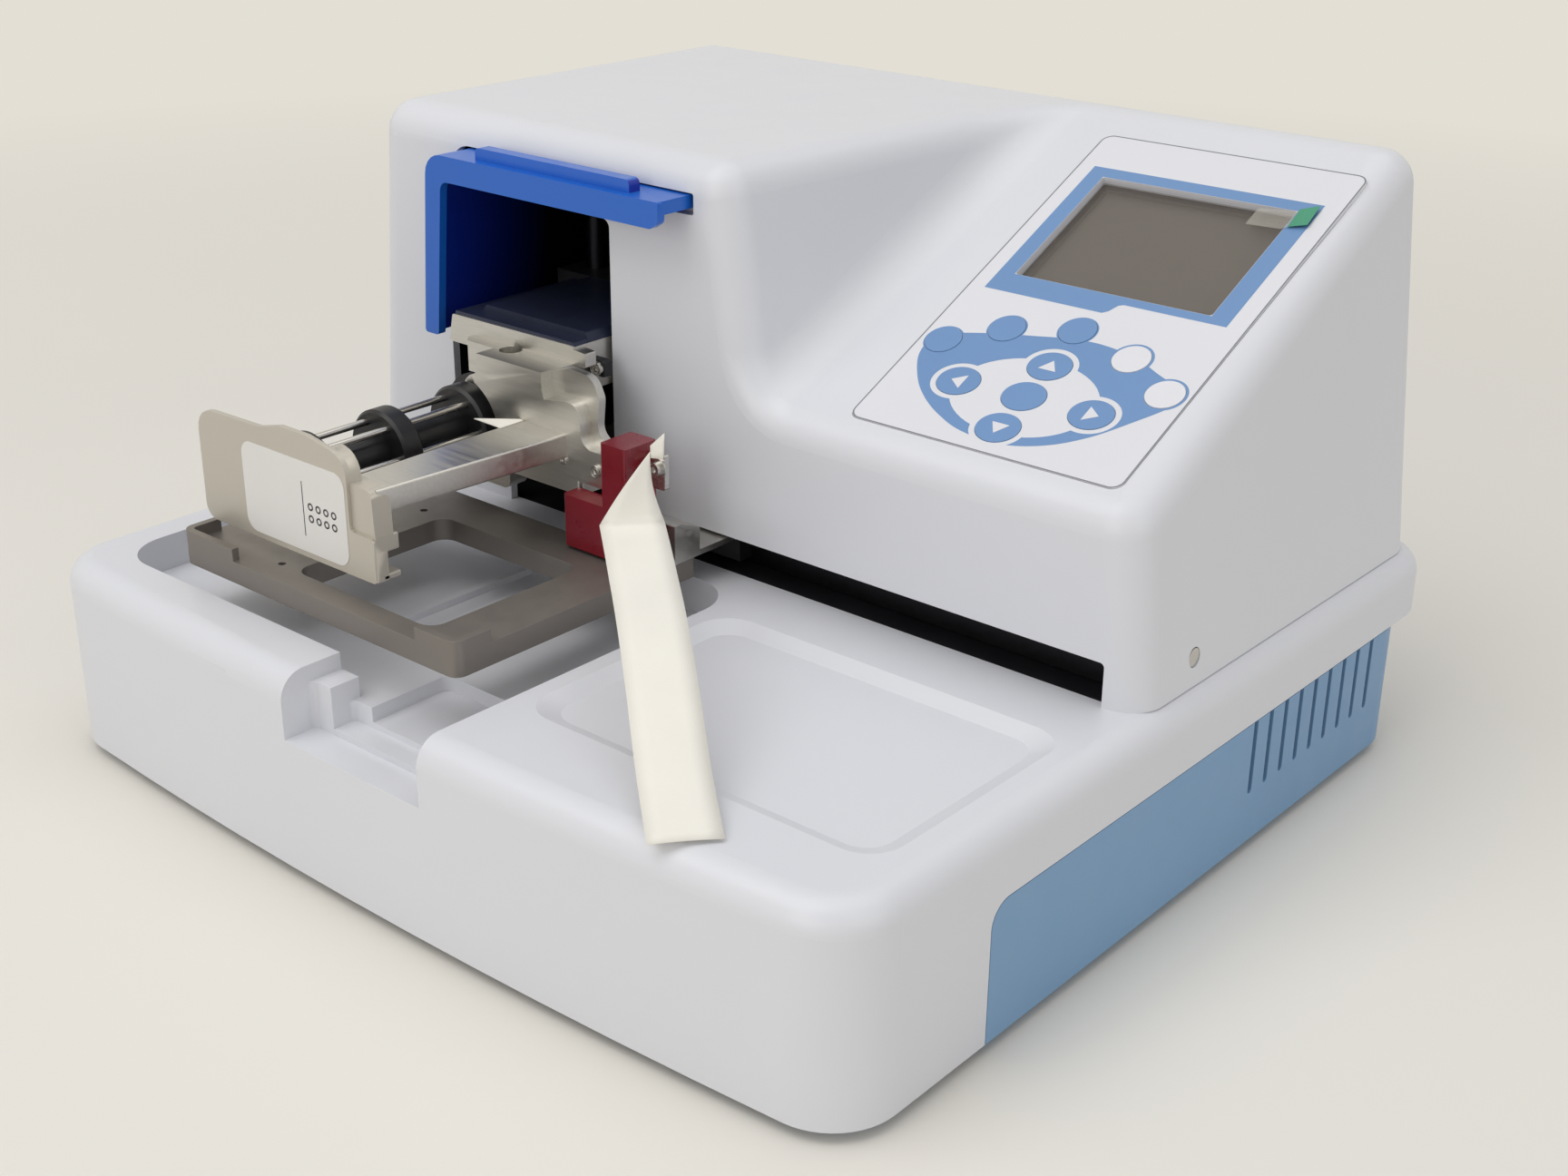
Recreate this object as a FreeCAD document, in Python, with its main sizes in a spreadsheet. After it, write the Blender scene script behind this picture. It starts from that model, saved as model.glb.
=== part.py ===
import FreeCAD, Part
import math
import os

import Sketcher
from FreeCAD import Placement, Rotation, Vector

# Microplate dispenser, millimetres.
# Origin at the bottom centre on the bench, +X right along the front, +Y to the back, +Z up.
# Sizes with a direction in their name (left, right, front, back, top, bottom) are places on that axis.

SIZES = {
    # Base
    "base_width": 356.6,
    "base_depth": 339.4,
    "base_top": 71.7,
    "foot_height": 4.0,
    "foot_radius": 10.0,
    "foot_inset_x": 28.0,
    "foot_inset_front": 35.0,
    "foot_inset_back": 24.0,
    "seam": 0.3,
    "shell": 3.0,
    "base_front_round": 22.0,
    "base_back_round": 19.0,
    "base_edge_round": 9.0,
    "bow_rise": 12.7,
    "bow_straight": 1.0,
    "case_split": 48.8,
    "case_front": -101.5,
    "case_setback": 16.0,
    "case_corner": 8.0,
    "vent_count": 9,
    "vent_pitch": 10.1,
    "vent_first": 41.9,
    "vent_width": 2.6,
    "vent_bottom": 22.5,
    "port_z": 28.0,
    "inlet_x": -128.0,
    "inlet_width": 27.4,
    "inlet_height": 20.0,
    "switch_x": -96.0,
    "switch_width": 19.6,
    "switch_height": 13.2,
    "rocker_rise": 1.5,
    "serial_x": -52.0,
    "serial_width": 20.0,
    "serial_height": 11.0,
    # Recess, drain channel and tray in the base
    "recess_left": -160.0,
    "recess_right": 24.0,
    "recess_margin": 23.7,
    "recess_back": -30.0,
    "recess_floor": 59.0,
    "recess_corner": 17.0,
    "channel_left": -39.0,
    "channel_step": 8.5,
    "channel_sill": 50.0,
    "channel_floor": 54.0,
    "channel_length": 51.7,
    "tray_left": 30.2,
    "tray_right": 163.8,
    "tray_margin": 34.9,
    "tray_back": -44.2,
    "tray_corner": 12.0,
    "tray_depth": 2.6,
    "tray_border": 6.0,
    "rib_width": 3.0,
    "rib_height": 2.5,
    "rib_left": -64.2,
    "rib_pitch": 14.7,
    # Tower
    "tower_front": -21.3,
    "tower_back": 160.0,
    "tower_foot_half": 172.7,
    "tower_top_half": 159.1,
    "tower_top": 210.0,
    "tower_round": 12.0,
    "slope_start": 132.0,
    "slope_angle": 25.3,
    "valley_start": 9.0,
    "valley_flare": 0.103,
    "valley_lean": 0.154,
    "valley_round": 16.0,
    "slot_left": -96.0,
    "slot_inset": 13.3,
    "slot_top": 86.0,
    "bay_left": -124.0,
    "bay_right": -41.6,
    "bay_top": 185.0,
    "bay_back": 84.0,
    "cover_slot_bottom": 192.5,
    "cover_slot_top": 199.6,
    "cover_slot_right": -3.4,
    "cover_gap": -106.5,
    "side_screw_y": 10.1,
    "side_screw_z": 80.8,
    "side_screw_head": 3.0,
    "side_screw_shank": 1.5,
    # Keypad panel on the slope
    "panel_x": 104.2,
    "panel_gap": 10.07,
    "panel_width": 100.0,
    "panel_length": 157.7,
    "panel_corner": 4.0,
    "panel_pocket": 1.2,
    "panel_thickness": 1.5,
    "panel_play": 0.2,
    "window_left": -37.5,
    "window_right": 36.0,
    "window_bottom": 79.0,
    "window_top": 134.8,
    "window_depth": 2.2,
    "window_thickness": 1.0,
    "display_margin": 8.0,
    "display_thickness": 8.0,
    "key_travel": 0.4,
    "key_play": 0.15,
    "key_proud": 0.2,
    "key_thickness": 1.1,
    "stem_radius": 2.0,
    "stem_play": 0.3,
    "key_long": 7.5,
    "key_short": 6.5,
    "round_key": 6.2,
    "board_depth": 6.0,
    "board_thickness": 1.6,
    "dome_height": 0.8,
    # Rotor cover
    "cover_front": -36.0,
    "cover_rim": 3.0,
    "cover_wall": 2.6,
    "cover_bottom": 134.0,
    "cover_top": 199.0,
    "cover_left_low": -121.3,
    "cover_left_high": -115.8,
    "cover_band": 9.0,
    "cover_cheek": 7.1,
    "cover_right": -5.0,
    "cover_slab_bottom": 194.6,
    "cover_corner": 8.0,
    "cover_back": 76.0,
    "grip_left": -98.0,
    "grip_right": -18.0,
    "grip_top": 203.5,
    # Pump head
    "head_travel": 30.0,
    "rear_plate_front": -52.0,
    "rear_plate_back": -44.0,
    "rear_plate_left": -93.0,
    "rear_plate_top": 138.8,
    "rear_plate_bottom": 104.5,
    "lower_plate_bottom": 99.5,
    "lower_plate_left": -62.0,
    "rotor_bottom": 93.0,
    "front_plate_front": -130.5,
    "front_plate_thickness": 6.0,
    "rotor_x": -85.5,
    "rotor_z": 110.8,
    "disc_radius": 14.6,
    "disc_thickness": 8.1,
    "disc_pitch": 34.4,
    "first_disc": -123.4,
    "roller_radius": 1.2,
    "hub_radius": 6.5,
    "roller_circle": 11.0,
    "roller_count": 6,
    "rotor_shaft_radius": 3.0,
    "motor_radius": 16.8,
    "fit_play": 0.05,
    "bar_left": -54.7,
    "bar_right": -34.9,
    "bar_bottom": 111.4,
    "bar_top": 119.8,
    "block_left": -95.4,
    "block_right": -43.0,
    "block_top": 148.0,
    "block_front": -38.0,
    "block_back": 20.0,
    "column_y": 32.0,
    "column_left": -102.0,
    "column_right": -58.0,
    "column_radius": 4.0,
    "column_top": 188.0,
    "lift_screw_radius": 3.0,
    # Plate movement
    "carrier_left": -127.0,
    "carrier_right": 10.0,
    "carrier_front": -141.0,
    "carrier_back": -50.0,
    "carrier_bottom": 76.0,
    "carrier_top": 85.0,
    "carrier_corner": 4.0,
    "carrier_lip": 3.0,
    "carrier_lip_width": 2.6,
    "carrier_lip_length": 22.0,
    "carrier_tail_back": -36.5,
    "carrier_tail_left": -24.0,
    "carriage_travel": 128.0,
    "arm_thickness": 2.0,
    "rail_y": -2.0,
    "rail_left": -36.0,
    "rail_inset": 14.7,
    "rail_width": 12.0,
    "rail_top": 79.0,
    "pulley_y": 20.0,
    "pulley_left": -26.0,
    "pulley_inset": 24.7,
    "pulley_radius": 6.0,
    "belt_thickness": 1.4,
    "belt_width": 6.0,
    "axle_radius": 2.0,
    "x_motor_width": 39.0,
    "x_motor_height": 34.0,
    # Transport lock with its tag
    "lock_left": -27.0,
    "lock_right": 7.1,
    "lock_front": -60.5,
    "lock_back": -52.9,
    "lock_shelf": 103.0,
    "lock_top": 125.0,
    "lock_post_left": -9.0,
    "lock_post_right": 2.5,
    "lock_post_back": -46.0,
    "bracket_front": -50.0,
    "bracket_width": 7.2,
    "bracket_drop": 3.0,
    "tag_width": 20.9,
    "tag_thickness": 0.4,
}

doc = FreeCAD.newDocument("microplate_dispenser")
sheet = doc.addObject("Spreadsheet::Sheet", "Sizes")
for row, (alias, number) in enumerate(SIZES.items(), 1):
    sheet.set(f"A{row}", alias)
    sheet.set(f"B{row}", str(number))
    sheet.setAlias(f"B{row}", alias)
doc.recompute()


class Size:
    """A number together with the sheet expression that it comes from."""

    def __init__(self, value, text):
        self.value = value
        self.text = text

    def __add__(self, other):
        other = as_size(other)
        return Size(self.value + other.value, f"({self.text} + {other.text})")

    def __radd__(self, other):
        return as_size(other) + self

    def __sub__(self, other):
        other = as_size(other)
        return Size(self.value - other.value, f"({self.text} - {other.text})")

    def __rsub__(self, other):
        return as_size(other) - self

    def __mul__(self, other):
        other = as_size(other)
        return Size(self.value * other.value, f"({self.text} * {other.text})")

    def __rmul__(self, other):
        return as_size(other) * self

    def __truediv__(self, other):
        other = as_size(other)
        return Size(self.value / other.value, f"({self.text} / {other.text})")

    def __neg__(self):
        return Size(-self.value, f"(0 - {self.text})")

    def sqrt(self):
        return Size(math.sqrt(self.value), f"sqrt({self.text})")


def as_size(number):
    return number if isinstance(number, Size) else Size(float(number), f"{float(number):.6f}")


def sine(angle):
    return Size(math.sin(math.radians(angle.value)), f"sin({angle.text})")


def cosine(angle):
    return Size(math.cos(math.radians(angle.value)), f"cos({angle.text})")


def tangent(angle):
    return Size(math.tan(math.radians(angle.value)), f"tan({angle.text})")


class Sheet:
    """Gives every alias of the sheet as a Size."""

    def __getattr__(self, alias):
        return Size(float(SIZES[alias]), f"Sizes.{alias}")


d = Sheet()
nodes = {}
cuts_to_check = []


def bind(obj, path, size):
    size = as_size(size)
    if "Sizes." in size.text:
        obj.setExpression(path, size.text)


def place(obj, x=0, y=0, z=0, axis=Vector(0, 0, 1), angle=0):
    """Put an object at a bound place, turned about an axis."""
    x, y, z, angle = (as_size(item) for item in (x, y, z, angle))
    obj.Placement = Placement(Vector(x.value, y.value, z.value), Rotation(axis, angle.value))
    bind(obj, "Placement.Base.x", x)
    bind(obj, "Placement.Base.y", y)
    bind(obj, "Placement.Base.z", z)
    bind(obj, "Placement.Rotation.Angle", angle)
    return obj


def node(name, obj):
    """Declare an object as a separate piece of the dispenser."""
    obj.Label = name
    nodes[name] = obj
    return obj


# Sketches


def add_circle(sketch, u, v, radius):
    u, v, radius = (as_size(item) for item in (u, v, radius))
    circle = Part.Circle(Vector(u.value, v.value, 0), Vector(0, 0, 1), radius.value)
    index = sketch.addGeometry(circle, False)
    for kind, size in (("DistanceX", u), ("DistanceY", v)):
        bound_constraint(sketch, [kind, -1, 1, index, 3], size)
    bound_constraint(sketch, ["Radius", index], radius)


def bound_constraint(sketch, words, size):
    number = sketch.addConstraint(Sketcher.Constraint(*words, size.value))
    bind(sketch, f"Constraints[{number}]", size)


def corner_arc(before, corner, after, radius):
    """Tangent points, centre and turn direction of a rounded corner."""
    back = (before - corner).normalize()
    ahead = (after - corner).normalize()
    half = back.getAngle(ahead) / 2
    reach = radius / math.tan(half)
    centre = corner + (back + ahead).normalize() * (radius / math.sin(half))
    turns_left = back.cross(ahead).z < 0
    return corner + back * reach, corner + ahead * reach, centre, turns_left


def add_loop(sketch, points):
    """Closed outline through (u, v) or (u, v, radius) corners, each bound to its sizes."""
    sizes = [[as_size(item) for item in point] for point in points]
    corners = [Vector(point[0].value, point[1].value, 0) for point in sizes]
    count = len(corners)
    starts, ends, arcs = {}, {}, {}
    for i, point in enumerate(sizes):
        if len(point) == 3 and point[2].value > 0:
            arrive, leave, centre, turns_left = corner_arc(
                corners[i - 1], corners[i], corners[(i + 1) % count], point[2].value)
            ends[i - 1], starts[i] = arrive, leave
            arcs[i] = (arrive, leave, centre, turns_left, point[2])
        else:
            ends[i - 1] = starts[i] = corners[i]
    ends[count - 1] = ends.pop(-1)
    lines = [Part.LineSegment(starts[i], ends[i]) for i in range(count)]
    first = sketch.addGeometry(lines, False)[0]
    for i, point in enumerate(sizes):
        before, after = first + (i - 1) % count, first + i
        if i not in arcs:
            sketch.addConstraint(Sketcher.Constraint("Coincident", before, 2, after, 1))
            bound_constraint(sketch, ["DistanceX", -1, 1, after, 1], point[0])
            bound_constraint(sketch, ["DistanceY", -1, 1, after, 1], point[1])
            continue
        arrive, leave, centre, turns_left, radius = arcs[i]
        begin, finish = (arrive, leave) if turns_left else (leave, arrive)
        circle = Part.Circle(centre, Vector(0, 0, 1), radius.value)
        angles = [math.atan2(end.y - centre.y, end.x - centre.x) for end in (begin, finish)]
        arc = sketch.addGeometry(Part.ArcOfCircle(circle, *angles), False)
        mark = sketch.addGeometry(Part.Point(corners[i]), True)
        arc_in, arc_out = (1, 2) if turns_left else (2, 1)
        sketch.addConstraint([
            Sketcher.Constraint("PointOnObject", mark, 1, before),
            Sketcher.Constraint("PointOnObject", mark, 1, after),
            Sketcher.Constraint("Tangent", before, 2, arc, arc_in),
            Sketcher.Constraint("Tangent", after, 1, arc, arc_out),
        ])
        bound_constraint(sketch, ["DistanceX", -1, 1, mark, 1], point[0])
        bound_constraint(sketch, ["DistanceY", -1, 1, mark, 1], point[1])
        bound_constraint(sketch, ["Radius", arc], radius)


class Piece:
    """A body whose features are added one after another, each bound to the sheet."""

    def __init__(self, name):
        self.name = name
        self.body = doc.addObject("PartDesign::Body", name)
        self.count = 0

    def label(self, word):
        self.count += 1
        return f"{self.name}_{word}_{self.count}"

    def sketch(self, plane, level, *loops):
        """Sketch on a plane of the body, moved to a level along its axis.

        XY looks down Z, XZ has X and Z as its axes, YZ has Y and Z as its axes.
        """
        level = as_size(level)
        role = f"{plane}_Plane"
        origin_plane = next(item for item in self.body.Origin.OriginFeatures if item.Role == role)
        sketch = self.body.newObject("Sketcher::SketchObject", self.label("sketch"))
        sketch.AttachmentSupport = [(origin_plane, "")]
        sketch.MapMode = "FlatFace"
        offset = -level if plane == "XZ" else level
        sketch.AttachmentOffset = Placement(Vector(0, 0, offset.value), Rotation())
        bind(sketch, "AttachmentOffset.Base.z", offset)
        for loop in loops:
            if isinstance(loop, tuple):
                add_circle(sketch, *loop)
            else:
                add_loop(sketch, loop)
        return sketch

    def extrude(self, kind, plane, start, end, loops):
        start, end = as_size(start), as_size(end)
        sketch = self.sketch(plane, start, *loops)
        feature = self.body.newObject(f"PartDesign::{kind}", self.label(kind.lower()))
        feature.Profile = sketch
        forward = end.value > start.value
        length = end - start if forward else start - end
        feature.Length = length.value
        bind(feature, "Length", length)
        along_normal = forward != (plane == "XZ")
        feature.Reversed = along_normal == (kind == "Pocket")
        return feature

    def pad(self, plane, start, end, *loops):
        """Add the outline's prism between two levels."""
        return self.extrude("Pad", plane, start, end, loops)

    def pocket(self, plane, start, end, *loops):
        """Cut the outline's prism between two levels."""
        base = self.body.Tip
        feature = self.extrude("Pocket", plane, start, end, loops)
        cuts_to_check.append((feature, base))
        return feature

    def pocket_along(self, plane, start, direction, length, *loops):
        """Cut the outline's prism along a slanted direction."""
        base = self.body.Tip
        feature = self.extrude("Pocket", plane, start, start + length, loops)
        feature.UseCustomVector = True
        feature.AlongSketchNormal = False
        feature.Reversed = False
        steps = [as_size(step) for step in direction]
        feature.Direction = Vector(*[step.value for step in steps])
        for axis, step in zip("xyz", steps):
            bind(feature, f"Direction.{axis}", step)
        cuts_to_check.append((feature, base))
        return feature

    def loft(self, kind, plane, level_a, loop_a, level_b, loop_b):
        base = self.body.Tip
        first = self.sketch(plane, level_a, loop_a)
        second = self.sketch(plane, level_b, loop_b)
        feature = self.body.newObject(f"PartDesign::{kind}Loft", self.label("loft"))
        feature.Profile = first
        feature.Sections = [second]
        feature.Ruled = True
        if kind == "Subtractive":
            cuts_to_check.append((feature, base))
        return feature

    def dress(self, kind, prop, size, pick):
        """Fillet or chamfer the edges that pick accepts."""
        size = as_size(size)
        doc.recompute()
        base = self.body.Tip
        names = [f"Edge{i}" for i, edge in enumerate(base.Shape.Edges, 1) if pick(edge)]
        feature = self.body.newObject(f"PartDesign::{kind}", self.label(kind.lower()))
        feature.Base = (base, names)
        setattr(feature, prop, size.value)
        bind(feature, prop, size)
        return feature

    def fillet(self, radius, pick):
        return self.dress("Fillet", "Radius", radius, pick)

    def chamfer(self, size, pick):
        return self.dress("Chamfer", "Size", size, pick)

    def repeat(self, features, axis, spacing, count):
        """Linear pattern of features along an axis of the body."""
        role = f"{axis}_Axis"
        line = next(item for item in self.body.Origin.OriginFeatures if item.Role == role)
        pattern = self.body.newObject("PartDesign::LinearPattern", self.label("pattern"))
        pattern.Originals = features
        pattern.Direction = (line, [""])
        span = spacing * (count - 1)
        pattern.Length = span.value
        bind(pattern, "Length", span)
        pattern.Occurrences = int(count.value)
        bind(pattern, "Occurrences", count)
        self.body.Tip = pattern
        return pattern


# Edge pickers


def level(edge, axis, place_on_axis):
    """True where the whole edge lies at one place on an axis."""
    place_on_axis = as_size(place_on_axis).value
    box = edge.BoundBox
    low = {"x": box.XMin, "y": box.YMin, "z": box.ZMin}[axis]
    high = {"x": box.XMax, "y": box.YMax, "z": box.ZMax}[axis]
    return abs(low - place_on_axis) < 0.02 and abs(high - place_on_axis) < 0.02


# Primitives and booleans


def rectangle(left, right, front, back, radius=0):
    return [(left, front, radius), (right, front, radius), (right, back, radius), (left, back, radius)]


def box(name, left, right, front, back, bottom, top):
    sides = [as_size(item) for item in (left, right, front, back, bottom, top)]
    left, right, front, back, bottom, top = sides
    obj = doc.addObject("Part::Box", name)
    for prop, size in (("Length", right - left), ("Width", back - front), ("Height", top - bottom)):
        setattr(obj, prop, size.value)
        bind(obj, prop, size)
    return place(obj, left, front, bottom)


TURNS = {"x": (Vector(0, 1, 0), 90), "y": (Vector(1, 0, 0), -90), "z": (Vector(0, 0, 1), 0)}


def rod(name, axis, x, y, z, radius, length):
    """Cylinder that starts at a point and runs along an axis."""
    radius, length = as_size(radius), as_size(length)
    obj = doc.addObject("Part::Cylinder", name)
    for prop, size in (("Radius", radius), ("Height", length)):
        setattr(obj, prop, size.value)
        bind(obj, prop, size)
    return place(obj, x, y, z, *TURNS[axis])


def cut(name, base, *tools):
    for i, tool in enumerate(tools):
        last = i == len(tools) - 1
        result = doc.addObject("Part::Cut", name if last else f"{name}_step")
        result.Base = base
        result.Tool = tool
        result.Refine = last
        base = result
    return base


def fuse(name, *shapes, refine=True):
    result = doc.addObject("Part::MultiFuse", name)
    result.Shapes = list(shapes)
    result.Refine = refine
    return result


def group(name, *shapes):
    """Several separate solids in one piece, such as a set of screws."""
    result = doc.addObject("Part::Compound", name)
    result.Links = list(shapes)
    return result


# Base cover: bowed tray with recess, drain channel and plate tray

half_width = d.base_width / 2
slot_right = d.tower_foot_half - d.slot_inset
rail_right = d.tower_foot_half - d.rail_inset
pulley_right = d.tower_foot_half - d.pulley_inset
half_depth = d.base_depth / 2
bow_slope = d.bow_rise / half_width
bow_radius = (half_width - d.base_front_round - d.bow_straight) / bow_slope
bow_cut = bow_radius * ((bow_slope * bow_slope + 1).sqrt() - 1)
bow_tip = -(half_depth + bow_cut)
bow_corner = bow_tip + d.bow_rise


def base_outline(inset):
    """Outline of the base seen from above, drawn in by a wall."""
    front_round = d.base_front_round - inset
    back_round = d.base_back_round - inset
    return [
        (-half_width + inset, bow_corner + inset, front_round),
        (0, bow_tip + inset, bow_radius),
        (half_width - inset, bow_corner + inset, front_round),
        (half_width - inset, half_depth - inset, back_round),
        (-half_width + inset, half_depth - inset, back_round),
    ]


tray_floor = d.base_top - d.tray_depth
recess_front = -half_depth + d.recess_margin
channel_back = -half_depth + d.channel_length
tray_front = -half_depth + d.tray_margin
far = d.base_depth

base = Piece("base_cover")
base.pad("XY", d.foot_height, d.base_top, base_outline(as_size(0)))
base.fillet(d.base_edge_round, lambda edge: level(edge, "z", d.base_top))
base.pocket("YZ", -d.base_width, d.base_width, [
    (d.case_front, 0), (d.case_front, d.case_split, d.case_corner), (far, d.case_split), (far, 0)])
base.pocket("XY", d.foot_height, d.channel_sill - d.shell, base_outline(d.shell))
base.pocket("XY", d.case_split, d.recess_floor - d.shell, rectangle(
    -half_width + d.shell, half_width - d.shell, d.case_front + d.shell, half_depth - d.shell,
    d.base_back_round - d.shell))
base.pocket("XY", d.recess_floor - 2 * d.shell, tray_floor - d.shell, rectangle(
    d.recess_right + d.shell, half_width - d.base_edge_round, tray_front - d.shell, half_depth - d.base_edge_round, 8))
base.pocket("XY", d.recess_floor - 2 * d.shell, tray_floor - d.shell, rectangle(
    -half_width + d.base_edge_round, half_width - d.base_edge_round, d.recess_back + d.shell,
    half_depth - d.base_edge_round, 8))
base.pocket("XY", d.base_top, d.recess_floor, rectangle(
    d.recess_left, d.recess_right, recess_front, d.recess_back, d.recess_corner))
base.pocket("XY", d.base_top, d.channel_floor, rectangle(
    d.channel_left + 2 * d.channel_step, d.recess_right, -half_depth + 2 * d.channel_step, channel_back, 3))
base.pocket("XY", d.base_top, (d.channel_floor + d.channel_sill) / 2, rectangle(
    d.channel_left + d.channel_step, d.recess_right, -half_depth + d.channel_step,
    -half_depth + 2.5 * d.channel_step, 2))
base.pocket("XY", d.base_top, d.recess_floor, rectangle(
    d.channel_left + d.channel_step, d.recess_right, -half_depth + d.channel_step, channel_back, 6))
base.pocket("XY", d.base_top, d.channel_sill, rectangle(
    d.channel_left, d.recess_right, -far, -half_depth + 1.5 * d.channel_step, 2))
base.pocket("XY", d.base_top, d.recess_floor + 7, rectangle(
    d.channel_left, d.recess_right, -far, channel_back, 8))
base.loft(
    "Subtractive", "XY",
    d.base_top, rectangle(d.tray_left, d.tray_right, tray_front, d.tray_back, d.tray_corner),
    tray_floor, rectangle(
        d.tray_left + d.tray_border, d.tray_right - d.tray_border,
        tray_front + d.tray_border, d.tray_back - d.tray_border, d.tray_corner - d.tray_border / 2))
base.pocket("XY", d.base_top + 1, tray_floor - 2 * d.shell, (
    pulley_right, d.pulley_y, d.axle_radius + d.seam))
for i in range(2):
    rib_left = d.rib_left + i * d.rib_pitch
    base.pad("XY", d.recess_floor, d.recess_floor + d.rib_height, rectangle(
        rib_left, rib_left + d.rib_width, recess_front + 44, d.recess_back - 14, 1))
node("base_cover", base.body)


# Lower case with side vents and the openings for the connectors at its back

case_back = half_depth - d.case_setback
case_wall_back = case_back - d.shell
inner_half = half_width - d.shell

case = Piece("lower_case")
case.pad("XY", d.foot_height, d.case_split - d.seam, [
    (-half_width, d.case_front + d.seam), (half_width, d.case_front + d.seam),
    (half_width, case_back, d.base_back_round), (-half_width, case_back, d.base_back_round)])
case.fillet(d.case_corner, lambda edge: level(edge, "y", d.case_front + d.seam)
            and level(edge, "z", d.case_split - d.seam))
case.pocket("XY", d.case_split, d.foot_height + d.shell, [
    (-inner_half, -far), (inner_half, -far),
    (inner_half, case_wall_back, d.base_back_round - d.shell),
    (-inner_half, case_wall_back, d.base_back_round - d.shell)])
case.pad("XY", d.foot_height, d.foot_height + d.shell, rectangle(
    -inner_half + d.seam, inner_half - d.seam, bow_corner + d.shell + d.seam, d.case_front + d.shell,
    d.base_front_round - d.shell))
vent = [case.pocket("YZ", -far, far, [
    (d.vent_first, d.vent_bottom, d.vent_width * 0.49), (d.vent_first + d.vent_width, d.vent_bottom, d.vent_width * 0.49),
    (d.vent_first + d.vent_width, far), (d.vent_first, far)])]
case.repeat(vent, "Y", d.vent_pitch, d.vent_count)

# Openings for the power entry and the serial port
case.pocket("XZ", far, case_wall_back - 1, rectangle(
    d.inlet_x - d.inlet_width / 2, d.switch_x + d.switch_width / 2,
    d.port_z - d.inlet_height / 2, d.port_z + d.inlet_height / 2, 2))
case.pocket("XZ", far, case_wall_back - 1, rectangle(
    d.serial_x - d.serial_width / 2, d.serial_x + d.serial_width / 2,
    d.port_z - d.serial_height / 2, d.port_z + d.serial_height / 2, 2))
node("lower_case", case.body)

foot_places = [
    (side * (half_width - d.foot_inset_x), y)
    for side in (-1, 1)
    for y in (bow_corner + d.foot_inset_front, case_back - d.foot_inset_back)]
node("rubber_feet", group("rubber_feet", *[
    rod("rubber_foot", "z", x, y, 0, d.foot_radius, d.foot_height) for x, y in foot_places]))

# Tower: drafted block with a sloped face set into it beside a rounded valley

slope = tangent(d.slope_angle)
draft = (d.tower_foot_half - d.tower_top_half) / (d.tower_top - d.base_top)
above = d.tower_top + 50


def tower_form(name, inset, edge_round):
    """The tower's outer form, or its inner one when it is drawn in by a wall."""
    form = Piece(name)
    front, back = d.tower_front + inset, d.tower_back - inset
    foot, top = d.tower_foot_half - inset, d.tower_top_half - inset + inset * draft
    form.pad("XZ", front, back, [
        (-foot, d.base_top), (foot, d.base_top), (top, d.tower_top - inset), (-top, d.tower_top - inset)])
    cut_start = d.tower_front - 40
    floor = d.slope_start + slope * (cut_start - d.tower_front) - inset / cosine(d.slope_angle)
    start = d.valley_start - inset + d.valley_flare * (cut_start - d.tower_front)
    low = start + d.valley_lean * (d.tower_top - floor)
    high = start + d.valley_lean * (d.tower_top - above)
    form.pocket_along("XZ", cut_start, (d.valley_flare - d.valley_lean * slope, 1, slope), 2 * far, [
        (high, above), (low, floor, d.valley_round), (far, floor), (far, above)])
    valley_left = d.valley_start + 5

    def outer(edge):
        box = edge.BoundBox
        in_valley = box.XMin > valley_left.value - 10 and box.XMax < 70 and box.YLength > 100
        return box.ZMax > d.base_top.value + 3 and not in_valley

    form.fillet(edge_round, outer)
    return form


tower_outer = tower_form("tower_outer", as_size(0), d.tower_round)
tower_inner = tower_form("tower_inner", d.shell, d.tower_round - d.shell)

cover_lean = (d.cover_left_high - d.cover_left_low) / (d.cover_top - d.cover_bottom)


def cheek(z, inset):
    """Place of the rotor cover's leaning left wall at a height."""
    return d.cover_left_low + inset + cover_lean * (z - d.cover_bottom)


openings = Piece("tower_openings")
wall_out, wall_in = d.tower_front - 20, d.tower_front + 2 * d.shell
openings.pad("XZ", wall_out, wall_in, [
    (d.slot_left, d.base_top - 5), (slot_right, d.base_top - 5), (slot_right, d.slot_top, 1.5),
    (d.bay_right, d.slot_top), (d.bay_right, d.bay_top, 3), (d.cover_gap, d.bay_top),
    (d.cover_gap, d.cover_slot_bottom), (d.cover_slot_right, d.cover_slot_bottom, 1),
    (d.cover_slot_right, d.cover_slot_top, 1),
    (cheek(d.cover_slot_top, d.bay_left - d.cover_left_low), d.cover_slot_top, d.cover_corner + 1),
    (d.bay_left, d.cover_bottom), (d.bay_left, d.slot_top), (d.slot_left, d.slot_top)])

# Everything on the slope is placed by (across, up, out) from the panel's bottom edge

panel_y = d.tower_front + d.panel_gap * cosine(d.slope_angle)
panel_z = d.slope_start + d.panel_gap * sine(d.slope_angle)
ACROSS = Vector(1, 0, 0)


def on_slope(obj, across=0, up=0, out=0):
    y = panel_y + up * cosine(d.slope_angle) - out * sine(d.slope_angle)
    z = panel_z + up * sine(d.slope_angle) + out * cosine(d.slope_angle)
    return place(obj, d.panel_x + across, y, z, ACROSS, d.slope_angle)


def slope_rod(name, across, up, start, end, radius):
    radius, length = as_size(radius), as_size(end) - start
    obj = doc.addObject("Part::Cylinder", name)
    for prop, size in (("Radius", radius), ("Height", length)):
        setattr(obj, prop, size.value)
        bind(obj, prop, size)
    return on_slope(obj, as_size(across), as_size(up), as_size(start))


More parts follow.
